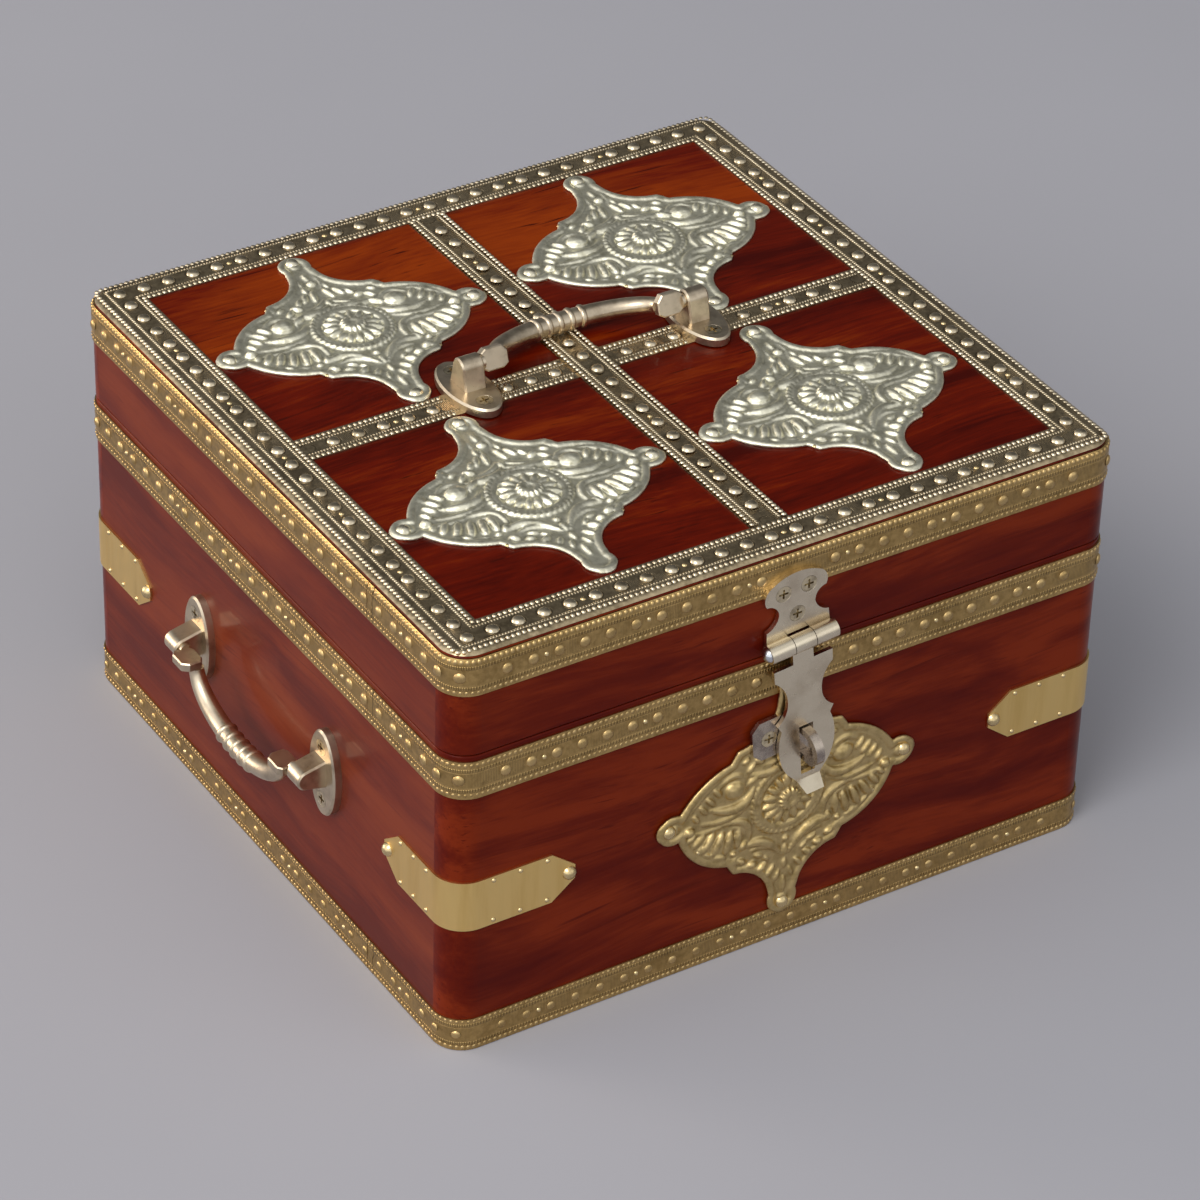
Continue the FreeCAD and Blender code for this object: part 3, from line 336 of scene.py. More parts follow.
def stripFinish(name, looks, along, across, centre, fineRows, folded=False):
    material, tree, shader = newMaterial(name)
    place = objectPlace(tree)
    shader.inputs["Metallic"].default_value = 1.0
    axes = addNode(tree, "ShaderNodeSeparateXYZ", {0: place})
    x, y, z = (times(tree, axes.outputs[i], 1000.0) for i in range(3))
    if along == "round":
        run, straight, crack = roundTheBox(tree, place, x, y)
    else:
        run, straight, crack = {"x": x, "y": y}[along], 1.0, 0.0
    side = {"x": x, "y": y, "z": z}[across]
    if folded:
        side = unsigned(tree, side)
    side = minus(tree, side, centre)
    off = unsigned(tree, side)
    waveNoise = noise(tree, place, looks["wave"], 2.0)
    mottle = noise(tree, place, stripLooks["mottle"], 3.0, 0.6)
    patch = noise(tree, place, stripLooks["patch"], 3.0)
    ribs = calc(tree, "SINE", times(tree, run, 2 * math.pi / stripLooks["finePitch"]))
    hatch = calc(tree, "SINE", times(tree, run, 2 * math.pi / stripLooks["hatchPitch"]))
    half = stripLooks["fineHalf"]
    near = None
    for row in fineRows:
        here = fadeOut(tree, unsigned(tree, minus(tree, side, row)), half - 0.25, half + 0.15)
        near = here if near is None else calc(tree, "MAXIMUM", near, here)
    inner = min(abs(row) for row in fineRows) - half - 0.3
    field = fadeOut(tree, off, inner - 0.3, inner)
    fold = calc(tree, "PINGPONG", run, stripLooks["domePitch"] / 2)
    fromDome = minus(tree, stripLooks["domePitch"] / 2, fold)
    squares = plus(tree, calc(tree, "POWER", fromDome, 2.0), calc(tree, "POWER", side, 2.0))
    fromRing = unsigned(tree, minus(tree, calc(tree, "SQRT", squares), stripLooks["moatRadius"]))
    moatGrooveAndShade = times(tree, fadeOut(tree, fromRing, *stripLooks["moatEdge"]), straight)   # none on the corners
    hatched = times(tree, field, fade(tree, patch, *stripLooks["patchEdge"]))
    mixed = plus(tree, times(tree, patch, 0.5), times(tree, mottle, 0.5))
    base = mixColour(tree, fade(tree, mixed, *stripLooks["dirtEdge"]), looks["shade"], looks["colour"])
    # the grooves of the fine rows, the rings round the domes and the hatch lines are darkened with painted shade; the
    # crack at the lap is a dark joint
    dark = tuple(stripLooks["grooveShade"] * v for v in looks["shade"])
    share = stripLooks["grooveShare"]
    grooveShadeAndCrack = times(tree, near, calc(tree, "MULTIPLY_ADD", ribs, -share, share))
    grooveShadeAndCrack = calc(tree, "MAXIMUM", grooveShadeAndCrack, times(tree, moatGrooveAndShade, looks["moatGrooveAndShade"]))
    lines = calc(tree, "MULTIPLY_ADD", hatch, -looks["hatch"], looks["hatch"])
    grooveShadeAndCrack = calc(tree, "MAXIMUM", grooveShadeAndCrack, times(tree, hatched, lines))
    grooveShadeAndCrack = calc(tree, "MAXIMUM", grooveShadeAndCrack, times(tree, crack, stripLooks["lapShade"]))
    base = mixColour(tree, grooveShadeAndCrack, base, dark)
    # the crests of the fine rows are painted lighter, towards the fine colour: a painted highlight
    paintedRibHighlight = times(tree, near, fade(tree, ribs, -0.3, 0.6))
    base = mixColour(tree, times(tree, paintedRibHighlight, looks["ribHighlightShare"]), base, looks["fine"])
    tree.links.new(base, shader.inputs["Base Color"])
    span = stripLooks["roughSpan"]
    rough = calc(tree, "MULTIPLY_ADD", mottle, span, looks["roughness"] - span / 2)
    tree.links.new(rough, shader.inputs["Roughness"])
    first = bumpInto(tree, shader, waveNoise, looks["waveRise"] * mm)
    depth = stripLooks["hatchDepth"]
    relief = times(tree, near, calc(tree, "MULTIPLY_ADD", ribs, 0.5, 0.5))
    relief = plus(tree, relief, times(tree, hatched, calc(tree, "MULTIPLY_ADD", hatch, depth, depth)))
    relief = minus(tree, relief, times(tree, moatGrooveAndShade, looks["moatGrooveAndShade"]))
    relief = minus(tree, relief, times(tree, crack, stripLooks["lapDepth"]))
    bumpInto(tree, shader, relief, stripLooks["fineRise"] * mm, 0.9, first)
    return material


def middleOf(node, axis):
    low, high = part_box(node)
    return 500 * (low[axis] + high[axis])


bandFace = (1000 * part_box("body_rim_band")[1].x, 1000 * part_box("body_rim_band")[1].y)
bandRadius = 13.1
overAt, underAt = middleOf("lid_cross_strip_over", 0), middleOf("lid_cross_strip_under", 1)
frameInner = (1000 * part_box("lid_frame_strip_right")[0].x, 1000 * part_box("lid_frame_strip_rear")[0].y)
frameHalf = 8.6                                     # half the flat width of a strip
frameLine = (frameInner[0] + frameHalf, frameInner[1] + frameHalf)
rimLine = middleOf("body_rim_band", 2)
baseLine = middleOf("body_base_band", 2)
lidLine = 178.4
# the beaten ornaments get the darkened hollows: patina and painted shade
beaten = {"wave": 240.0, "waveRise": 0.40, "grime": 0.42, "recess": True, "grain": 0.4}
metals = {
    "frameX": stripFinish("brassFrameX", stripLooks["top"], "x", "y", frameLine[1], (-4.9, 4.6), True),
    "frameY": stripFinish("brassFrameY", stripLooks["top"], "y", "x", frameLine[0], (-4.9, 4.6), True),
    "crossY": stripFinish("brassCrossOver", stripLooks["top"], "y", "x", overAt, (-4.9, 4.9)),
    "crossX": stripFinish("brassCrossUnder", stripLooks["top"], "x", "y", underAt, (-4.3, 4.3)),
    "lidBand": stripFinish("brassLidBand", stripLooks["band"], "round", "z", lidLine, (-4.9, 4.4)),
    "rimBand": stripFinish("brassRimBand", stripLooks["band"], "round", "z", rimLine, (-4.9, 4.4)),
    "baseBand": stripFinish("brassBaseBand", stripLooks["band"], "round", "z", baseLine, (-4.4, 4.4)),
    "topBead": metalFinish("brassTopBead", (0.75, 0.64, 0.46), (0.42, 0.34, 0.22), 0.24),
    "topFineBead": metalFinish("brassTopFineBead", (0.62, 0.52, 0.36), (0.36, 0.29, 0.18), 0.30),
    "bandBead": metalFinish("brassBandBead", (0.62, 0.44, 0.20), (0.42, 0.28, 0.11), 0.34),
    "ornament": metalFinish("brassOrnament", (0.88, 0.85, 0.68), (0.62, 0.59, 0.44), 0.44, **beaten),
    "frontOrnament": metalFinish("brassFrontOrnament", (0.60, 0.45, 0.21), (0.42, 0.30, 0.12), 0.40, **beaten),
    "strap": metalFinish("brassStrap", (0.88, 0.62, 0.24), (0.79, 0.53, 0.18), 0.36, wave=110.0, grime=0.40,
                         grain=0.5, lay=(1.0, 1.0, 0.10)),
    "handle": metalFinish("brassHandle", (0.64, 0.54, 0.40), (0.42, 0.34, 0.24), 0.33, wave=110.0, grime=0.42,
                          grain=0.5),
    "hasp": metalFinish("steelHasp", (0.80, 0.70, 0.53), (0.62, 0.52, 0.38), 0.24, waveRise=0.06, grime=0.42,
                        grain=0.15),
    "staple": metalFinish("steelStaple", (0.54, 0.46, 0.38), (0.26, 0.21, 0.18), 0.28, wave=120.0, waveRise=0.08,
                          grime=0.46, grain=0.4),
    "hinge": metalFinish("brassHinge", (0.60, 0.47, 0.25), (0.36, 0.27, 0.13), 0.34, waveRise=0.05, grime=0.42),
    "screw": metalFinish("steelScrew", (0.78, 0.66, 0.44), (0.40, 0.33, 0.22), 0.22, wave=300.0, waveRise=0.05,
                         grime=0.46, recess=True, grain=0.4),
    "pin": metalFinish("steelPin", (0.66, 0.68, 0.72), (0.46, 0.47, 0.50), 0.20, wave=120.0, waveRise=0.03,
                       grime=0.42, grain=0.2),
    "nail": metalFinish("brassNail", (0.72, 0.56, 0.30), (0.50, 0.37, 0.17), 0.26, wave=160.0, waveRise=0.03,
                        grime=0.38),
    "paleNail": metalFinish("brassPaleNail", (0.82, 0.76, 0.58), (0.58, 0.52, 0.36), 0.24, wave=160.0,
                            waveRise=0.03, grime=0.38),
}

finishes = {
    "lid_top_panel": woodTop, "front_board": woodFront, "rear_board": woodFront, "lid_front_rail": woodFront,
    "lid_rear_rail": woodFront, "bottom_board": woodFront, "left_board": woodSide, "right_board": woodSide,
    "lid_left_rail": woodSide, "lid_right_rail": woodSide, "lid_frame_strip_front": metals["frameX"],
    "lid_frame_strip_rear": metals["frameX"], "lid_frame_strip_left": metals["frameY"],
    "lid_frame_strip_right": metals["frameY"], "lid_cross_strip_over": metals["crossY"],
    "lid_cross_strip_under": metals["crossX"], "lid_side_band": metals["lidBand"],
    "body_rim_band": metals["rimBand"], "body_base_band": metals["baseBand"],
}
endings = (("lid_ornament_nails", "paleNail"), ("corner_strap", "strap"), ("_bail", "handle"), ("_post", "handle"),
           ("hasp_leaf", "hasp"), ("hasp_strap", "hasp"), ("hasp_pin", "pin"), ("staple_plate", "staple"),
           ("staple_loop", "staple"), ("_leaf", "hinge"), ("hinge_pins", "hinge"), ("_screws", "screw"),
           ("_nails", "nail"), ("_pins", "nail"), ("front_ornament", "frontOrnament"), ("lid_ornament", "ornament"))
for node, obj in frame["nodes"].items():
    finish = finishes.get(node)
    if not finish:
        wanted = [m for e, m in endings if node.endswith(e)] or [m for e, m in endings if e in node]
        finish = metals[wanted[0]]
    for place in obj.material_slots:
        place.material = finish
print("finishes on the frame's nodes")


# Beads and domes: half balls that look along -y, modelled once

beadLooks = {
    "pitch": 2.35, "halfAlong": 0.95, "halfAcross": 1.12, "rise": 0.70, "bandRise": 0.46, "slant": 26.0, "sink": 0.08,
    "finePitch": 1.3, "fineAlong": 0.52, "fineAcross": 0.72, "fineRise": 0.42, "fineInner": 3.7, "fineOuter": 13.2,
    "fineAside": 4.9, "domeRadius": 2.75, "domeRise": 1.45, "smallDomeRadius": 1.9, "smallDomeRise": 0.7,
    "sideDomeRadius": 2.4, "sideDomeRise": 1.0,
}


def halfBall(name, halfAlong, rise, halfAcross, segments, rings, slant=0.0):
    deselect()
    bpy.ops.mesh.primitive_uv_sphere_add(segments=segments, ring_count=rings, radius=mm,
                                         rotation=(math.pi / 2, 0, 0))
    ball = bpy.context.object
    ball.name = name
    settle(ball)
    ball.scale = (halfAlong, rise, halfAcross)
    settle(ball)
    ball.rotation_euler = (0, math.radians(slant), 0)
    settle(ball)
    bpy.ops.object.mode_set(mode="EDIT")
    bpy.ops.mesh.select_all(action="SELECT")
    bpy.ops.mesh.bisect(plane_co=(0, beadLooks["sink"] * mm, 0), plane_no=(0, 1, 0), clear_outer=True,
                        use_fill=True)
    bpy.ops.object.mode_set(mode="OBJECT")
    bpy.ops.object.shade_smooth_by_angle(angle=math.radians(50))
    return ball


bead = halfBall("bead", beadLooks["halfAlong"], beadLooks["rise"], beadLooks["halfAcross"], 8, 4,
                beadLooks["slant"])
bandBead = halfBall("bandBead", beadLooks["halfAlong"], beadLooks["bandRise"], beadLooks["halfAcross"], 8, 4,
                    beadLooks["slant"])
fineBead = halfBall("fineBead", beadLooks["fineAlong"], beadLooks["fineRise"], beadLooks["fineAcross"], 6, 4,
                    beadLooks["slant"])
dome = halfBall("dome", beadLooks["domeRadius"], beadLooks["domeRise"], beadLooks["domeRadius"], 14, 6)
sideDome = halfBall("sideDome", beadLooks["sideDomeRadius"], beadLooks["sideDomeRise"], beadLooks["sideDomeRadius"],
                    14, 6)
smallDome = halfBall("smallDome", beadLooks["smallDomeRadius"], beadLooks["smallDomeRise"],
                     beadLooks["smallDomeRadius"], 12, 6)


def roundedPath(halfX, halfY, radius, height):
    deselect()
    bpy.ops.mesh.primitive_plane_add(size=2, location=(0, 0, height * mm))
    path = bpy.context.object
    path.scale = (halfX * mm, halfY * mm, 1)
    settle(path)
    bpy.ops.object.mode_set(mode="EDIT")
    bpy.ops.mesh.select_all(action="SELECT")
    bpy.ops.mesh.bevel(offset=radius * mm, affect="VERTICES", segments=8, profile=0.5)
    bpy.ops.mesh.select_all(action="SELECT")
    bpy.ops.mesh.delete(type="ONLY_FACE")
    bpy.ops.object.mode_set(mode="OBJECT")
    bpy.ops.object.convert(target="CURVE")
    path = bpy.context.object
    points = [p.co.xyz for p in path.data.splines[0].points]
    area = sum(a.x * b.y - b.x * a.y for a, b in zip(points, points[1:] + points[:1]))
    if area < 0:
        bpy.ops.object.mode_set(mode="EDIT")
        bpy.ops.curve.select_all(action="SELECT")
        bpy.ops.curve.switch_direction()
        bpy.ops.object.mode_set(mode="OBJECT")
    path.data.dimensions = "3D"
    return path


def beadRing(name, model, halfX, halfY, radius, height, tilt=0.0, gaps=(), size=1.0,
             pitch=beadLooks["pitch"]):
    path = roundedPath(halfX, halfY, radius, height)
    length = path.data.splines[0].calc_length()
    count = round(length / (pitch * mm))
    row = copyOf(model, name)
    row.rotation_euler = (math.radians(-tilt), 0, 0)
    row.scale = (size, size, size)
    settle(row)
    corners = len(row.data.vertices)
    array = row.modifiers.new("row", "ARRAY")
    array.use_relative_offset = False
    array.use_constant_offset = True
    array.constant_offset_displace = (length / count, 0, 0)
    array.count = count
    bend = row.modifiers.new("bend", "CURVE")
    bend.object = path
    applyModifiers(row)
    discard(path)
    dropIn(row, corners, gaps)
    return row


def dropIn(row, size, gaps):
    if not gaps:
        return
    pick(row)
    bpy.ops.object.mode_set(mode="EDIT")
    bpy.ops.mesh.select_all(action="DESELECT")
    bpy.ops.object.mode_set(mode="OBJECT")
    points = row.data.vertices
    for start in range(0, len(points), size):
        group = [points[i] for i in range(start, start + size)]
        middle = sum((v.co for v in group), Vector()) / size
        if any(all(l <= m <= h for l, m, h in zip(low, middle, high)) for low, high in gaps):
            for v in group:
                v.select = True
    bpy.ops.object.mode_set(mode="EDIT")
    bpy.ops.mesh.delete(type="VERT")
    bpy.ops.object.mode_set(mode="OBJECT")


def beadLine(name, model, start, end, turn, gaps=(), pitch=beadLooks["pitch"]):
    length = (end - start).length
    count = int(length / pitch) + 1
    row = copyOf(model, name)
    size = len(row.data.vertices)
    array = row.modifiers.new("row", "ARRAY")
    array.use_relative_offset = False
    array.use_constant_offset = True
    array.constant_offset_displace = (length / (count - 1) * mm, 0, 0)
    array.count = count
    applyModifiers(row)
    row.matrix_world = (Matrix.Translation(start * mm) @ Matrix.Rotation(turn, 4, "Z")
                        @ Matrix.Rotation(-math.pi / 2, 4, "X"))
    settle(row)
    dropIn(row, size, gaps)
    return row


def grown(node, margin):
    low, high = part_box(node)
    more = Vector((margin, margin, margin)) * mm
    return low - more, high + more


# Rows round the lid's side, the body's rim and the base

bandGaps = [grown(n, 0.6) for n in ("left_hinge_body_leaf", "left_hinge_lid_leaf", "right_hinge_body_leaf",
                                    "right_hinge_lid_leaf")]
for name, half in (("hasp_leaf", 12.6), ("hasp_strap", 11.0), ("front_ornament", 7.5)):
    low, high = grown(name, 0.6)                    # only what the leaf, strap or lobe covers
    bandGaps.append((Vector((-half * mm, low.y, low.z)), Vector((half * mm, high.y + 0.5 * mm, high.z))))
foldRadius = 5.6


def bandRows(name, heights, finish, body, domeLine, domeModel):
    rows = []
    for number, (height, tilt, size) in enumerate(heights):
        inset = foldRadius * (1 - math.cos(math.radians(tilt)))
        rows.append(beadRing(f"{name}_row{number}", bandBead, bandFace[0] - inset, bandFace[1] - inset,
                             bandRadius - inset, height, tilt, bandGaps, size))
    places = []
    pitch = stripLooks["domePitch"]
    flatX, flatY = bandFace[0] - bandRadius, bandFace[1] - bandRadius
    for turn, flat, reach in ((0, flatX, bandFace[1]), (90, flatY, bandFace[0]), (180, flatX, bandFace[1]),
                              (270, flatY, bandFace[0])):
        aside = [(k + 0.5) * pitch for k in range(-12, 12) if abs((k + 0.5) * pitch) < flat + 1]
        for a in aside:
            places.append((turn, Vector((a, -reach, domeLine)), 0))
        ends = flatX - 11.5 * pitch + flatY - 11.5 * pitch + bandRadius * math.pi / 2
        for step in (1, 2, 3):
            past = step * ends / 4 - (flat - 11.5 * pitch)
            angle = past / bandRadius
            if 0 <= angle <= math.pi / 2:
                centre = Vector((flat, -reach + bandRadius, domeLine))
                out = Vector((math.sin(angle), -math.cos(angle), 0))
                places.append((turn, centre + out * bandRadius, math.degrees(angle)))
    matrices = []
    for turn, point, angle in places:
        matrix = (Matrix.Rotation(math.radians(turn), 4, "Z") @ Matrix.Translation(point * mm)
                  @ Matrix.Rotation(math.radians(angle), 4, "Z"))
        where = matrix.translation
        if not any(all(l <= m <= h for l, m, h in zip(low, where, high)) for low, high in bandGaps):
            matrices.append(matrix)
    domes = copiesAt(domeModel, name + "_domes", matrices)
    beads = joinAll(name + "_beads", rows)
    for piece in (domes, beads):
        piece.data.materials.clear()
        piece.data.materials.append(finish)
        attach(piece, body)


# each row: its height, its tilt and the size of its beads
lidRows = ((185.3, 19.8, 1.0), (171.6, 0, 0.72))
rimRows = ((rimLine + 6.9, 0, 0.9), (rimLine - 6.9, 0, 0.72))
baseRows = ((baseLine + 6.3, 0, 0.75), (baseLine - 6.2, 0, 0.85))
bandRows("lid_band", lidRows, metals["bandBead"], "lid", lidLine, sideDome)
bandRows("rim_band", rimRows, metals["bandBead"], "chest", rimLine, sideDome)
bandRows("base_band", baseRows, metals["bandBead"], "chest", baseLine, smallDome)
print("rows round the sides")


# Rows on the lid's top strips

topFace = 1000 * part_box("lid_frame_strip_front")[1].z
overFace = 1000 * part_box("lid_cross_strip_over")[1].z
topGaps = [grown(n, 0.8) for n in ("top_handle_left_post", "top_handle_right_post")]
overLow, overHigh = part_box("lid_cross_strip_over")
topGaps.append((Vector((overLow.x - mm, -20 * mm, 0.18)),
                Vector((overHigh.x + mm, 20 * mm, (topFace + 0.3) * mm))))
foldTilt = 12.5
outer = foldRadius * math.sin(math.radians(foldTilt))
flatEdge = (1000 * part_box("lid_top_panel")[1].x - 5.0, 1000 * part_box("lid_top_panel")[1].y - 5.0)
finePitch = beadLooks["finePitch"]
fineOuter = (frameInner[0] + beadLooks["fineOuter"], frameInner[1] + beadLooks["fineOuter"])
rows = [
    beadRing("top_row_inner", bead, frameInner[0] + 1.5, frameInner[1] + 1.5, 0.8, topFace, 90),
    beadRing("top_row_outer", bead, flatEdge[0] + outer, flatEdge[1] + outer, 3.0,
             topFace - foldRadius * (1 - math.cos(math.radians(foldTilt))), 90 - foldTilt),
]
fineRows = [
    beadRing("fine_row_inner", fineBead, frameInner[0] + beadLooks["fineInner"],
             frameInner[1] + beadLooks["fineInner"], 0.8, topFace, 90, pitch=finePitch),
    beadRing("fine_row_outer", fineBead, *fineOuter, 1.5, topFace, 90, pitch=finePitch),
]
reach = frameInner[1] - 1
for side in (-1, 1):
    for model, step, aside, wanted in ((bead, beadLooks["pitch"], 7.3, rows),
                                       (fineBead, finePitch, beadLooks["fineAside"], fineRows)):
        x = overAt + side * aside
        wanted.append(beadLine(f"over_row{side}{aside}", model, Vector((x, -reach, overFace)),
                               Vector((x, reach, overFace)), math.pi / 2, pitch=step))
        y = underAt + side * (aside - 1.0)
        wanted.append(beadLine(f"under_row{side}{aside}", model, Vector((-frameInner[0] + 1, y, topFace)),
                               Vector((frameInner[0] - 1, y, topFace)), 0, topGaps, step))
topBeads = joinAll("lid_top_beads", rows)
topFineBeads = joinAll("lid_top_fine_beads", fineRows)
pitch = stripLooks["domePitch"]
flat = []
for k in range(-12, 12):
    a = (k + 0.5) * pitch
    if abs(a) < frameLine[0] - 4:
        flat += [Vector((a, s * frameLine[1], topFace)) for s in (-1, 1)]
    if abs(a) < frameLine[1] - 4:
        flat += [Vector((s * frameLine[0], a, topFace)) for s in (-1, 1)]
    if abs(a) < frameInner[1] - 3:
        flat.append(Vector((overAt, a, overFace)))
    if abs(a) < frameInner[0] - 3 and abs(a - overAt) > 11:
        flat.append(Vector((a, underAt, topFace)))
flat += [Vector((sx * frameLine[0], sy * frameLine[1], topFace)) for sx in (-1, 1) for sy in (-1, 1)]
upright = Matrix.Rotation(-math.pi / 2, 4, "X")
spots = [Matrix.Translation(p * mm) @ upright for p in flat
         if not any(all(l <= m <= h for l, m, h in zip(low, p * mm, high)) for low, high in topGaps[:2])]
topDomes = copiesAt(dome, "lid_top_domes", spots)
for piece, finish in ((topBeads, "topBead"), (topFineBeads, "topFineBead"), (topDomes, "topBead")):
    piece.data.materials.clear()
    piece.data.materials.append(metals[finish])
    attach(piece, "lid")
discard(bead, bandBead, fineBead, dome, sideDome, smallDome)
print("rows on the lid's top")


# Repousse ornaments: relief lumps grown together with the sheet

ornament = {
    "voxel": 0.45, "softening": 3, "rim": 1.8, "rimRise": 0.55, "rimFlat": 0.62, "rimShare": 0.962, "sheet": 0.9,
    "lift": 0.15, "sink": 0.2, "button": 4.2, "buttonLift": 2.2, "buttonRise": 1.6, "ballRise": 2.6,
    "ballHeight": 1.15, "scrollEnd": 0.45, "scrollSwell": 0.65, "frontSag": 2.5,
    # how many, distance from the centre, half length, half width, turn, lift and rise
    "rings": ((15, 8.3, 4.1, 1.75, 0, 1.4, 1.7), (14, 3.4, 2.1, 0.8, 0, 3.3, 1.2), (40, 16.2, 2.3, 1.1, 122, 0.9, 1.5),
              (64, 13.1, 1.3, 0.75, 90, 0.9, 1.1)),
    # across, along, half length, half width, turn: each also stands mirrored across
    "balls": ((25.4, 12.4, 5.0, 4.4, 0), (25.8, 13.0, 2.2, 2.0, 0), (46.0, -0.6, 2.5, 2.3, 0),
              (33.4, 13.6, 3.4, 1.4, 52), (36.6, 10.6, 3.6, 1.4, 50), (39.8, 7.6, 3.4, 1.4, 52),
              (43.0, 4.4, 2.8, 1.3, 56),
              (23.0, -12.2, 5.4, 1.9, -86), (27.6, -12.8, 6.0, 2.0, -76), (32.4, -11.6, 6.0, 2.0, -66),
              (37.0, -9.4, 5.4, 1.9, -58), (41.2, -6.6, 4.2, 1.7, -52), (44.6, -4.2, 2.6, 1.3, -46),
              (20.2, -17.0, 2.6, 1.5, -60), (24.6, -19.6, 1.5, 1.3, 0), (30.4, -19.2, 3.0, 1.1, 22),
              (36.6, -15.8, 3.0, 1.1, 34), (14.2, 22.6, 2.8, 1.6, 30), (18.2, 20.2, 3.2, 1.4, -50),
              (11.2, 26.4, 3.2, 1.3, -58), (7.6, 28.4, 3.8, 1.4, -66), (3.4, 28.6, 4.8, 1.4, -78),
              (4.8, 34.2, 2.6, 1.2, -80), (20.6, 24.4, 2.2, 1.2, -30), (17.2, 14.4, 4.6, 1.7, -34),
              (20.8, -24.8, 2.6, 1.7, 30), (15.6, -28.2, 2.4, 1.8, 0), (10.8, -31.4, 3.2, 1.7, -40),
              (6.6, -34.8, 3.4, 1.4, -52), (12.6, -24.8, 2.6, 1.2, 24), (8.8, -27.6, 2.2, 1.1, 40),
              (3.2, -38.4, 3.0, 1.1, -70)),
    "middle": ((0, 37.6, 2.2, 1.9, 0), (0, 21.6, 2.6, 1.4, 90), (0, -43.8, 4.6, 1.4, 90), (0, -26.6, 3.0, 1.4, 90),
               (0, -21.0, 1.6, 1.4, 0), (0, -33.4, 2.8, 1.3, 90), (0, 43.4, 3.2, 1.2, 90)),
    # start, bend, end, half width: each also stands mirrored across
    "scrolls": (((16.4, 9.6), (21.4, -1.0), (36.0, 6.0), 2.3), ((17.8, 3.2), (27.0, -4.2), (42.4, 1.4), 1.3),
                ((18.6, 13.6), (25.4, 23.6), (32.6, 15.4), 1.3), ((19.2, 10.4), (20.4, 17.0), (26.6, 17.4), 1.1),
                ((17.8, -16.0), (15.2, -2.6), (30.6, -3.4), 1.7), ((28.6, -3.8), (37.6, -4.2), (46.0, -2.8), 1.0),
                ((20.4, -14.0), (18.6, -6.4), (27.6, -6.6), 1.0), ((1.4, 19.6), (7.6, 12.4), (19.4, 17.4), 1.9),
                ((0.8, 25.0), (4.6, 18.0), (13.4, 19.2), 1.2), ((2.2, 22.6), (8.4, 16.2), (16.8, 18.6), 0.9),
                ((31.6, 19.6), (39.4, 16.8), (46.2, 6.6), 0.9), ((20.8, -18.6), (10.2, -14.0), (1.8, -28.4), 2.1),
                ((16.8, -21.6), (10.0, -19.2), (4.0, -25.6), 1.3), ((2.4, -24.0), (6.4, -18.6), (13.0, -18.4), 0.9),
                ((1.6, 31.4), (5.6, 37.4), (3.2, 44.4), 0.9), ((22.4, -22.0), (29.0, -24.0), (41.6, -12.4), 0.9)),
}


def lumpAt(model, across, along, long, wide, turn, lift, rise):
    place = (Matrix.Translation(Vector((across, along, lift)) * mm) @ Matrix.Rotation(math.radians(turn), 4, "Z")
             @ Matrix.Diagonal((long, wide, rise, 1)))
    lump = copyOf(model, "lump")
    lump.matrix_world = place
    return lump


def scrollLumps(model, start, bend, end, half, mirror):
    lumps = []
    steps = round(2.2 * math.dist(start, bend) / half) + 8
    for i in range(steps + 1):
        t = i / steps
        x = (1 - t) ** 2 * start[0] + 2 * t * (1 - t) * bend[0] + t ** 2 * end[0]
        y = (1 - t) ** 2 * start[1] + 2 * t * (1 - t) * bend[1] + t ** 2 * end[1]
        size = half * (ornament["scrollEnd"] + ornament["scrollSwell"] * math.sin(math.pi * t) ** 0.8)
        lumps.append(lumpAt(model, mirror * x, y, size, size, 0, ornament["sheet"] - ornament["sink"], size))
    return lumps


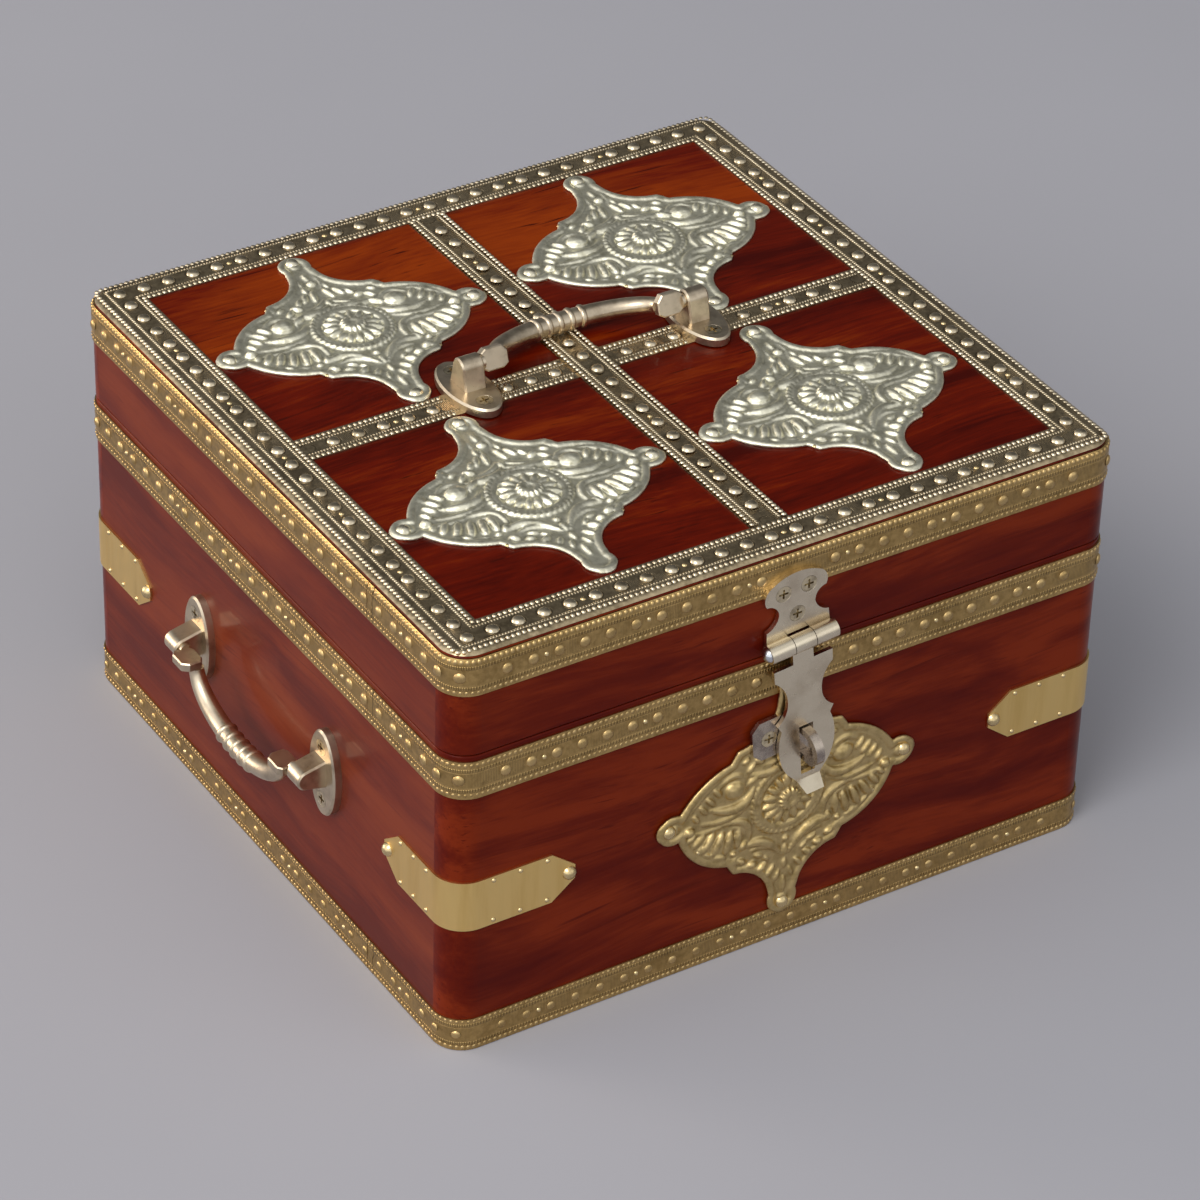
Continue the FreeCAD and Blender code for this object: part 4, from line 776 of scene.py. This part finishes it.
def ornamentShape(name, node, toLocal, sag):
    sheet = copyOf(frame["nodes"][node], name)
    sheet.parent = None
    sheet.matrix_world = toLocal
    settle(sheet)
    pick(sheet)
    bpy.ops.object.mode_set(mode="EDIT")
    bpy.ops.mesh.select_all(action="SELECT")
    bpy.ops.mesh.remove_doubles(threshold=0.00001)
    bpy.ops.object.mode_set(mode="OBJECT")
    rim = copyOf(sheet, "rim")                      # the sheet's own outline becomes a round border
    pick(rim)
    bpy.ops.object.mode_set(mode="EDIT")
    bpy.ops.mesh.select_all(action="SELECT")
    cut = (0, 0, ornament["sheet"] / 2 * mm)
    bpy.ops.mesh.bisect(plane_co=cut, plane_no=(0, 0, 1), clear_outer=True, clear_inner=True)
    bpy.ops.object.mode_set(mode="OBJECT")
    bpy.ops.object.convert(target="CURVE")
    rim = bpy.context.object
    rim.data.dimensions = "3D"
    rim.data.bevel_depth = ornament["rim"] * mm
    rim.data.bevel_resolution = 2
    rim.location.z = ornament["rimRise"] * mm
    rim.scale = (ornament["rimShare"], ornament["rimShare"], ornament["rimFlat"])
    bpy.ops.object.convert(target="MESH")
    rim = settle(bpy.context.object)
    deselect()
    bpy.ops.mesh.primitive_ico_sphere_add(subdivisions=2, radius=mm)
    model = bpy.context.object
    lumps = []
    lift = ornament["sheet"]
    for across, along, long, wide, turn in ornament["balls"]:
        rise = ornament["ballHeight"] * min(long, wide, ornament["ballRise"])
        lumps.append(lumpAt(model, across, along, long, wide, turn, lift, rise))
        lumps.append(lumpAt(model, -across, along, long, wide, -turn, lift, rise))
    for across, along, long, wide, turn in ornament["middle"]:
        lumps.append(lumpAt(model, across, along, long, wide, turn, lift, wide))
    for start, bend, end, half in ornament["scrolls"]:
        lumps += scrollLumps(model, start, bend, end, half, 1) + scrollLumps(model, start, bend, end, half, -1)
    for count, distance, long, wide, turn, height, rise in ornament["rings"]:
        for i in range(count):
            angle = 360 * i / count
            c, s = math.cos(math.radians(angle)), math.sin(math.radians(angle))
            lumps.append(lumpAt(model, c * distance, s * distance, long, wide, angle + turn, height, rise))
    button = ornament["button"]
    lumps.append(lumpAt(model, 0, 0, button, button, 0, ornament["buttonLift"], ornament["buttonRise"]))
    relief = settle(joinAll("relief", lumps))
    relief.location = (0, -sag * mm, 0)
    settle(relief)
    discard(model)
    piece = joinAll(name, [sheet, rim, relief])
    grow = piece.modifiers.new("grow", "REMESH")
    grow.mode = "VOXEL"
    grow.voxel_size = ornament["voxel"] * mm
    grow.use_smooth_shade = True
    soften = piece.modifiers.new("soften", "SMOOTH")
    soften.factor = 0.5
    soften.iterations = ornament["softening"]
    applyModifiers(piece)
    pick(piece)
    bpy.ops.object.mode_set(mode="EDIT")
    bpy.ops.mesh.select_all(action="SELECT")
    bpy.ops.mesh.bisect(plane_co=(0, 0, ornament["lift"] * mm), plane_no=(0, 0, 1), clear_inner=True, use_fill=True)
    bpy.ops.object.mode_set(mode="OBJECT")
    bpy.ops.object.shade_smooth_by_angle(angle=math.radians(60))
    piece.data.validate()                           # the remesh leaves a few doubled faces
    piece.location = (0, 0, -ornament["lift"] * mm)
    settle(piece)
    return piece


def ornamentCentre(node):
    low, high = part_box(node)
    return (low + high) / 2


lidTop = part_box("lid_top_panel")[1].z
turns = {"front_left": -1.2, "front_right": -0.2, "rear_left": -2.5, "rear_right": -0.9}
frontLeft = "lid_ornament_front_left"
centre = ornamentCentre(frontLeft)
toLocal = (Matrix.Rotation(math.radians(-turns["front_left"]), 4, "Z")
           @ Matrix.Translation((-centre.x, -centre.y, -lidTop)))
model = ornamentShape("ornament_model", frontLeft, toLocal, 0.0)
model.data.materials.clear()
model.data.materials.append(metals["ornament"])
for corner, turn in turns.items():
    node = "lid_ornament_" + corner
    centre = ornamentCentre(node)
    piece = copyOf(model, "repousse_" + corner)
    piece.matrix_world = (Matrix.Translation((centre.x, centre.y, lidTop))
                          @ Matrix.Rotation(math.radians(turn), 4, "Z"))
    settle(piece)
    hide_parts(node)
    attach(piece, "lid")
discard(model)
low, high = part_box("front_ornament")
back, middle = high.y, (low + high) / 2
upright = Matrix(((1, 0, 0, 0), (0, 0, -1, 0), (0, 1, 0, 0), (0, 0, 0, 1)))
stand = Matrix.Translation((middle.x, back, middle.z)) @ upright
piece = ornamentShape("repousse_front", "front_ornament", stand.inverted(), ornament["frontSag"])
piece.data.materials.clear()
piece.data.materials.append(metals["frontOrnament"])
piece.matrix_world = stand
settle(piece)
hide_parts("front_ornament")
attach(piece, "chest")
print("ornaments")


# Floor, light and camera

studio = {
    "floorColour": (0.378, 0.376, 0.410), "floorSize": 14.0,
    # place, size, power and colour
    "keyLight": ((-1.7, -0.9, 2.1), 1.6, 29.0, (1.0, 0.98, 0.95)),
    "warmLight": ((-1.7, 1.6, 0.45), 1.0, 17.0, (1.0, 0.78, 0.58)),
    "fillLight": ((1.6, -2.2, 1.3), 2.0, 4.0, (0.95, 0.97, 1.0)),
    "aim": (0, 0, 0.1), "skyColour": (0.97, 0.98, 1.0), "farSide": (0.44, 0.69, 0.57), "farStrength": 0.19,
    "nearStrength": 0.88, "leftGain": 0.62,
}
deselect()
bpy.ops.mesh.primitive_plane_add(size=studio["floorSize"])
floor = bpy.context.object
floor.name = "floor"
material, tree, shader = newMaterial("floorPaper")
place = objectPlace(tree)
soft = noise(tree, place, 2.2, 4.0)
tone = studio["floorColour"]
colour = mixColour(tree, soft, tuple(0.93 * v for v in tone), tuple(1.05 * v for v in tone))
tree.links.new(colour, shader.inputs["Base Color"])
shader.inputs["Roughness"].default_value = 0.9
floor.data.materials.append(material)


def softLight(name, spot, size, power, colour):
    deselect()
    bpy.ops.object.light_add(type="AREA", location=spot)
    lamp = bpy.context.object
    lamp.name = name
    lamp.data.shape = "DISK"
    lamp.data.size = size
    lamp.data.energy = power
    lamp.data.color = colour
    lamp.rotation_euler = (Vector(studio["aim"]) - Vector(spot)).to_track_quat("-Z", "Y").to_euler()


for lampName in ("keyLight", "warmLight", "fillLight"):
    softLight(lampName, *studio[lampName])

world = bpy.data.worlds.new("softSky")
bpy.context.scene.world = world
world.use_nodes = True
tree = world.node_tree
background = tree.nodes["Background"]
direction = addNode(tree, "ShaderNodeTexCoord").outputs["Generated"]
axes = addNode(tree, "ShaderNodeSeparateXYZ", {0: direction})
# the lid's flat wood mirrors the far side, which is dark, and the left is brighter than the right
toFarSide = addNode(tree, "ShaderNodeVectorMath", {0: direction, 1: studio["farSide"]}, operation="DOT_PRODUCT")
strength = addNode(tree, "ShaderNodeMapRange", {0: toFarSide.outputs["Value"], 1: 0.45, 2: 0.88,
                                                3: studio["nearStrength"], 4: studio["farStrength"]},
                   interpolation_type="SMOOTHSTEP").outputs[0]
left = calc(tree, "MULTIPLY_ADD", axes.outputs[0], -studio["leftGain"], 1.0)
tree.links.new(times(tree, strength, left), background.inputs[1])
background.inputs[0].default_value = (*studio["skyColour"], 1)

cameraLooks = {
    "place": (-0.91036, -1.42554, 1.25269), "lens": 149.3426, "sensor": 36.0,
    "right": (0.84989, -0.52638, 0.02486), "up": (0.28396, 0.49719, 0.81986), "back": (-0.44391, -0.68973, 0.57203),
}
deselect()
bpy.ops.object.camera_add(location=cameraLooks["place"])
camera = bpy.context.object
camera.name = "camera"
turned = Matrix([cameraLooks["right"], cameraLooks["up"], cameraLooks["back"]]).transposed()
camera.rotation_euler = turned.to_euler()
camera.data.sensor_width = cameraLooks["sensor"]
camera.data.lens = cameraLooks["lens"]
bpy.context.scene.camera = camera
bpy.context.scene.view_settings.view_transform = "Standard"
print("studio")
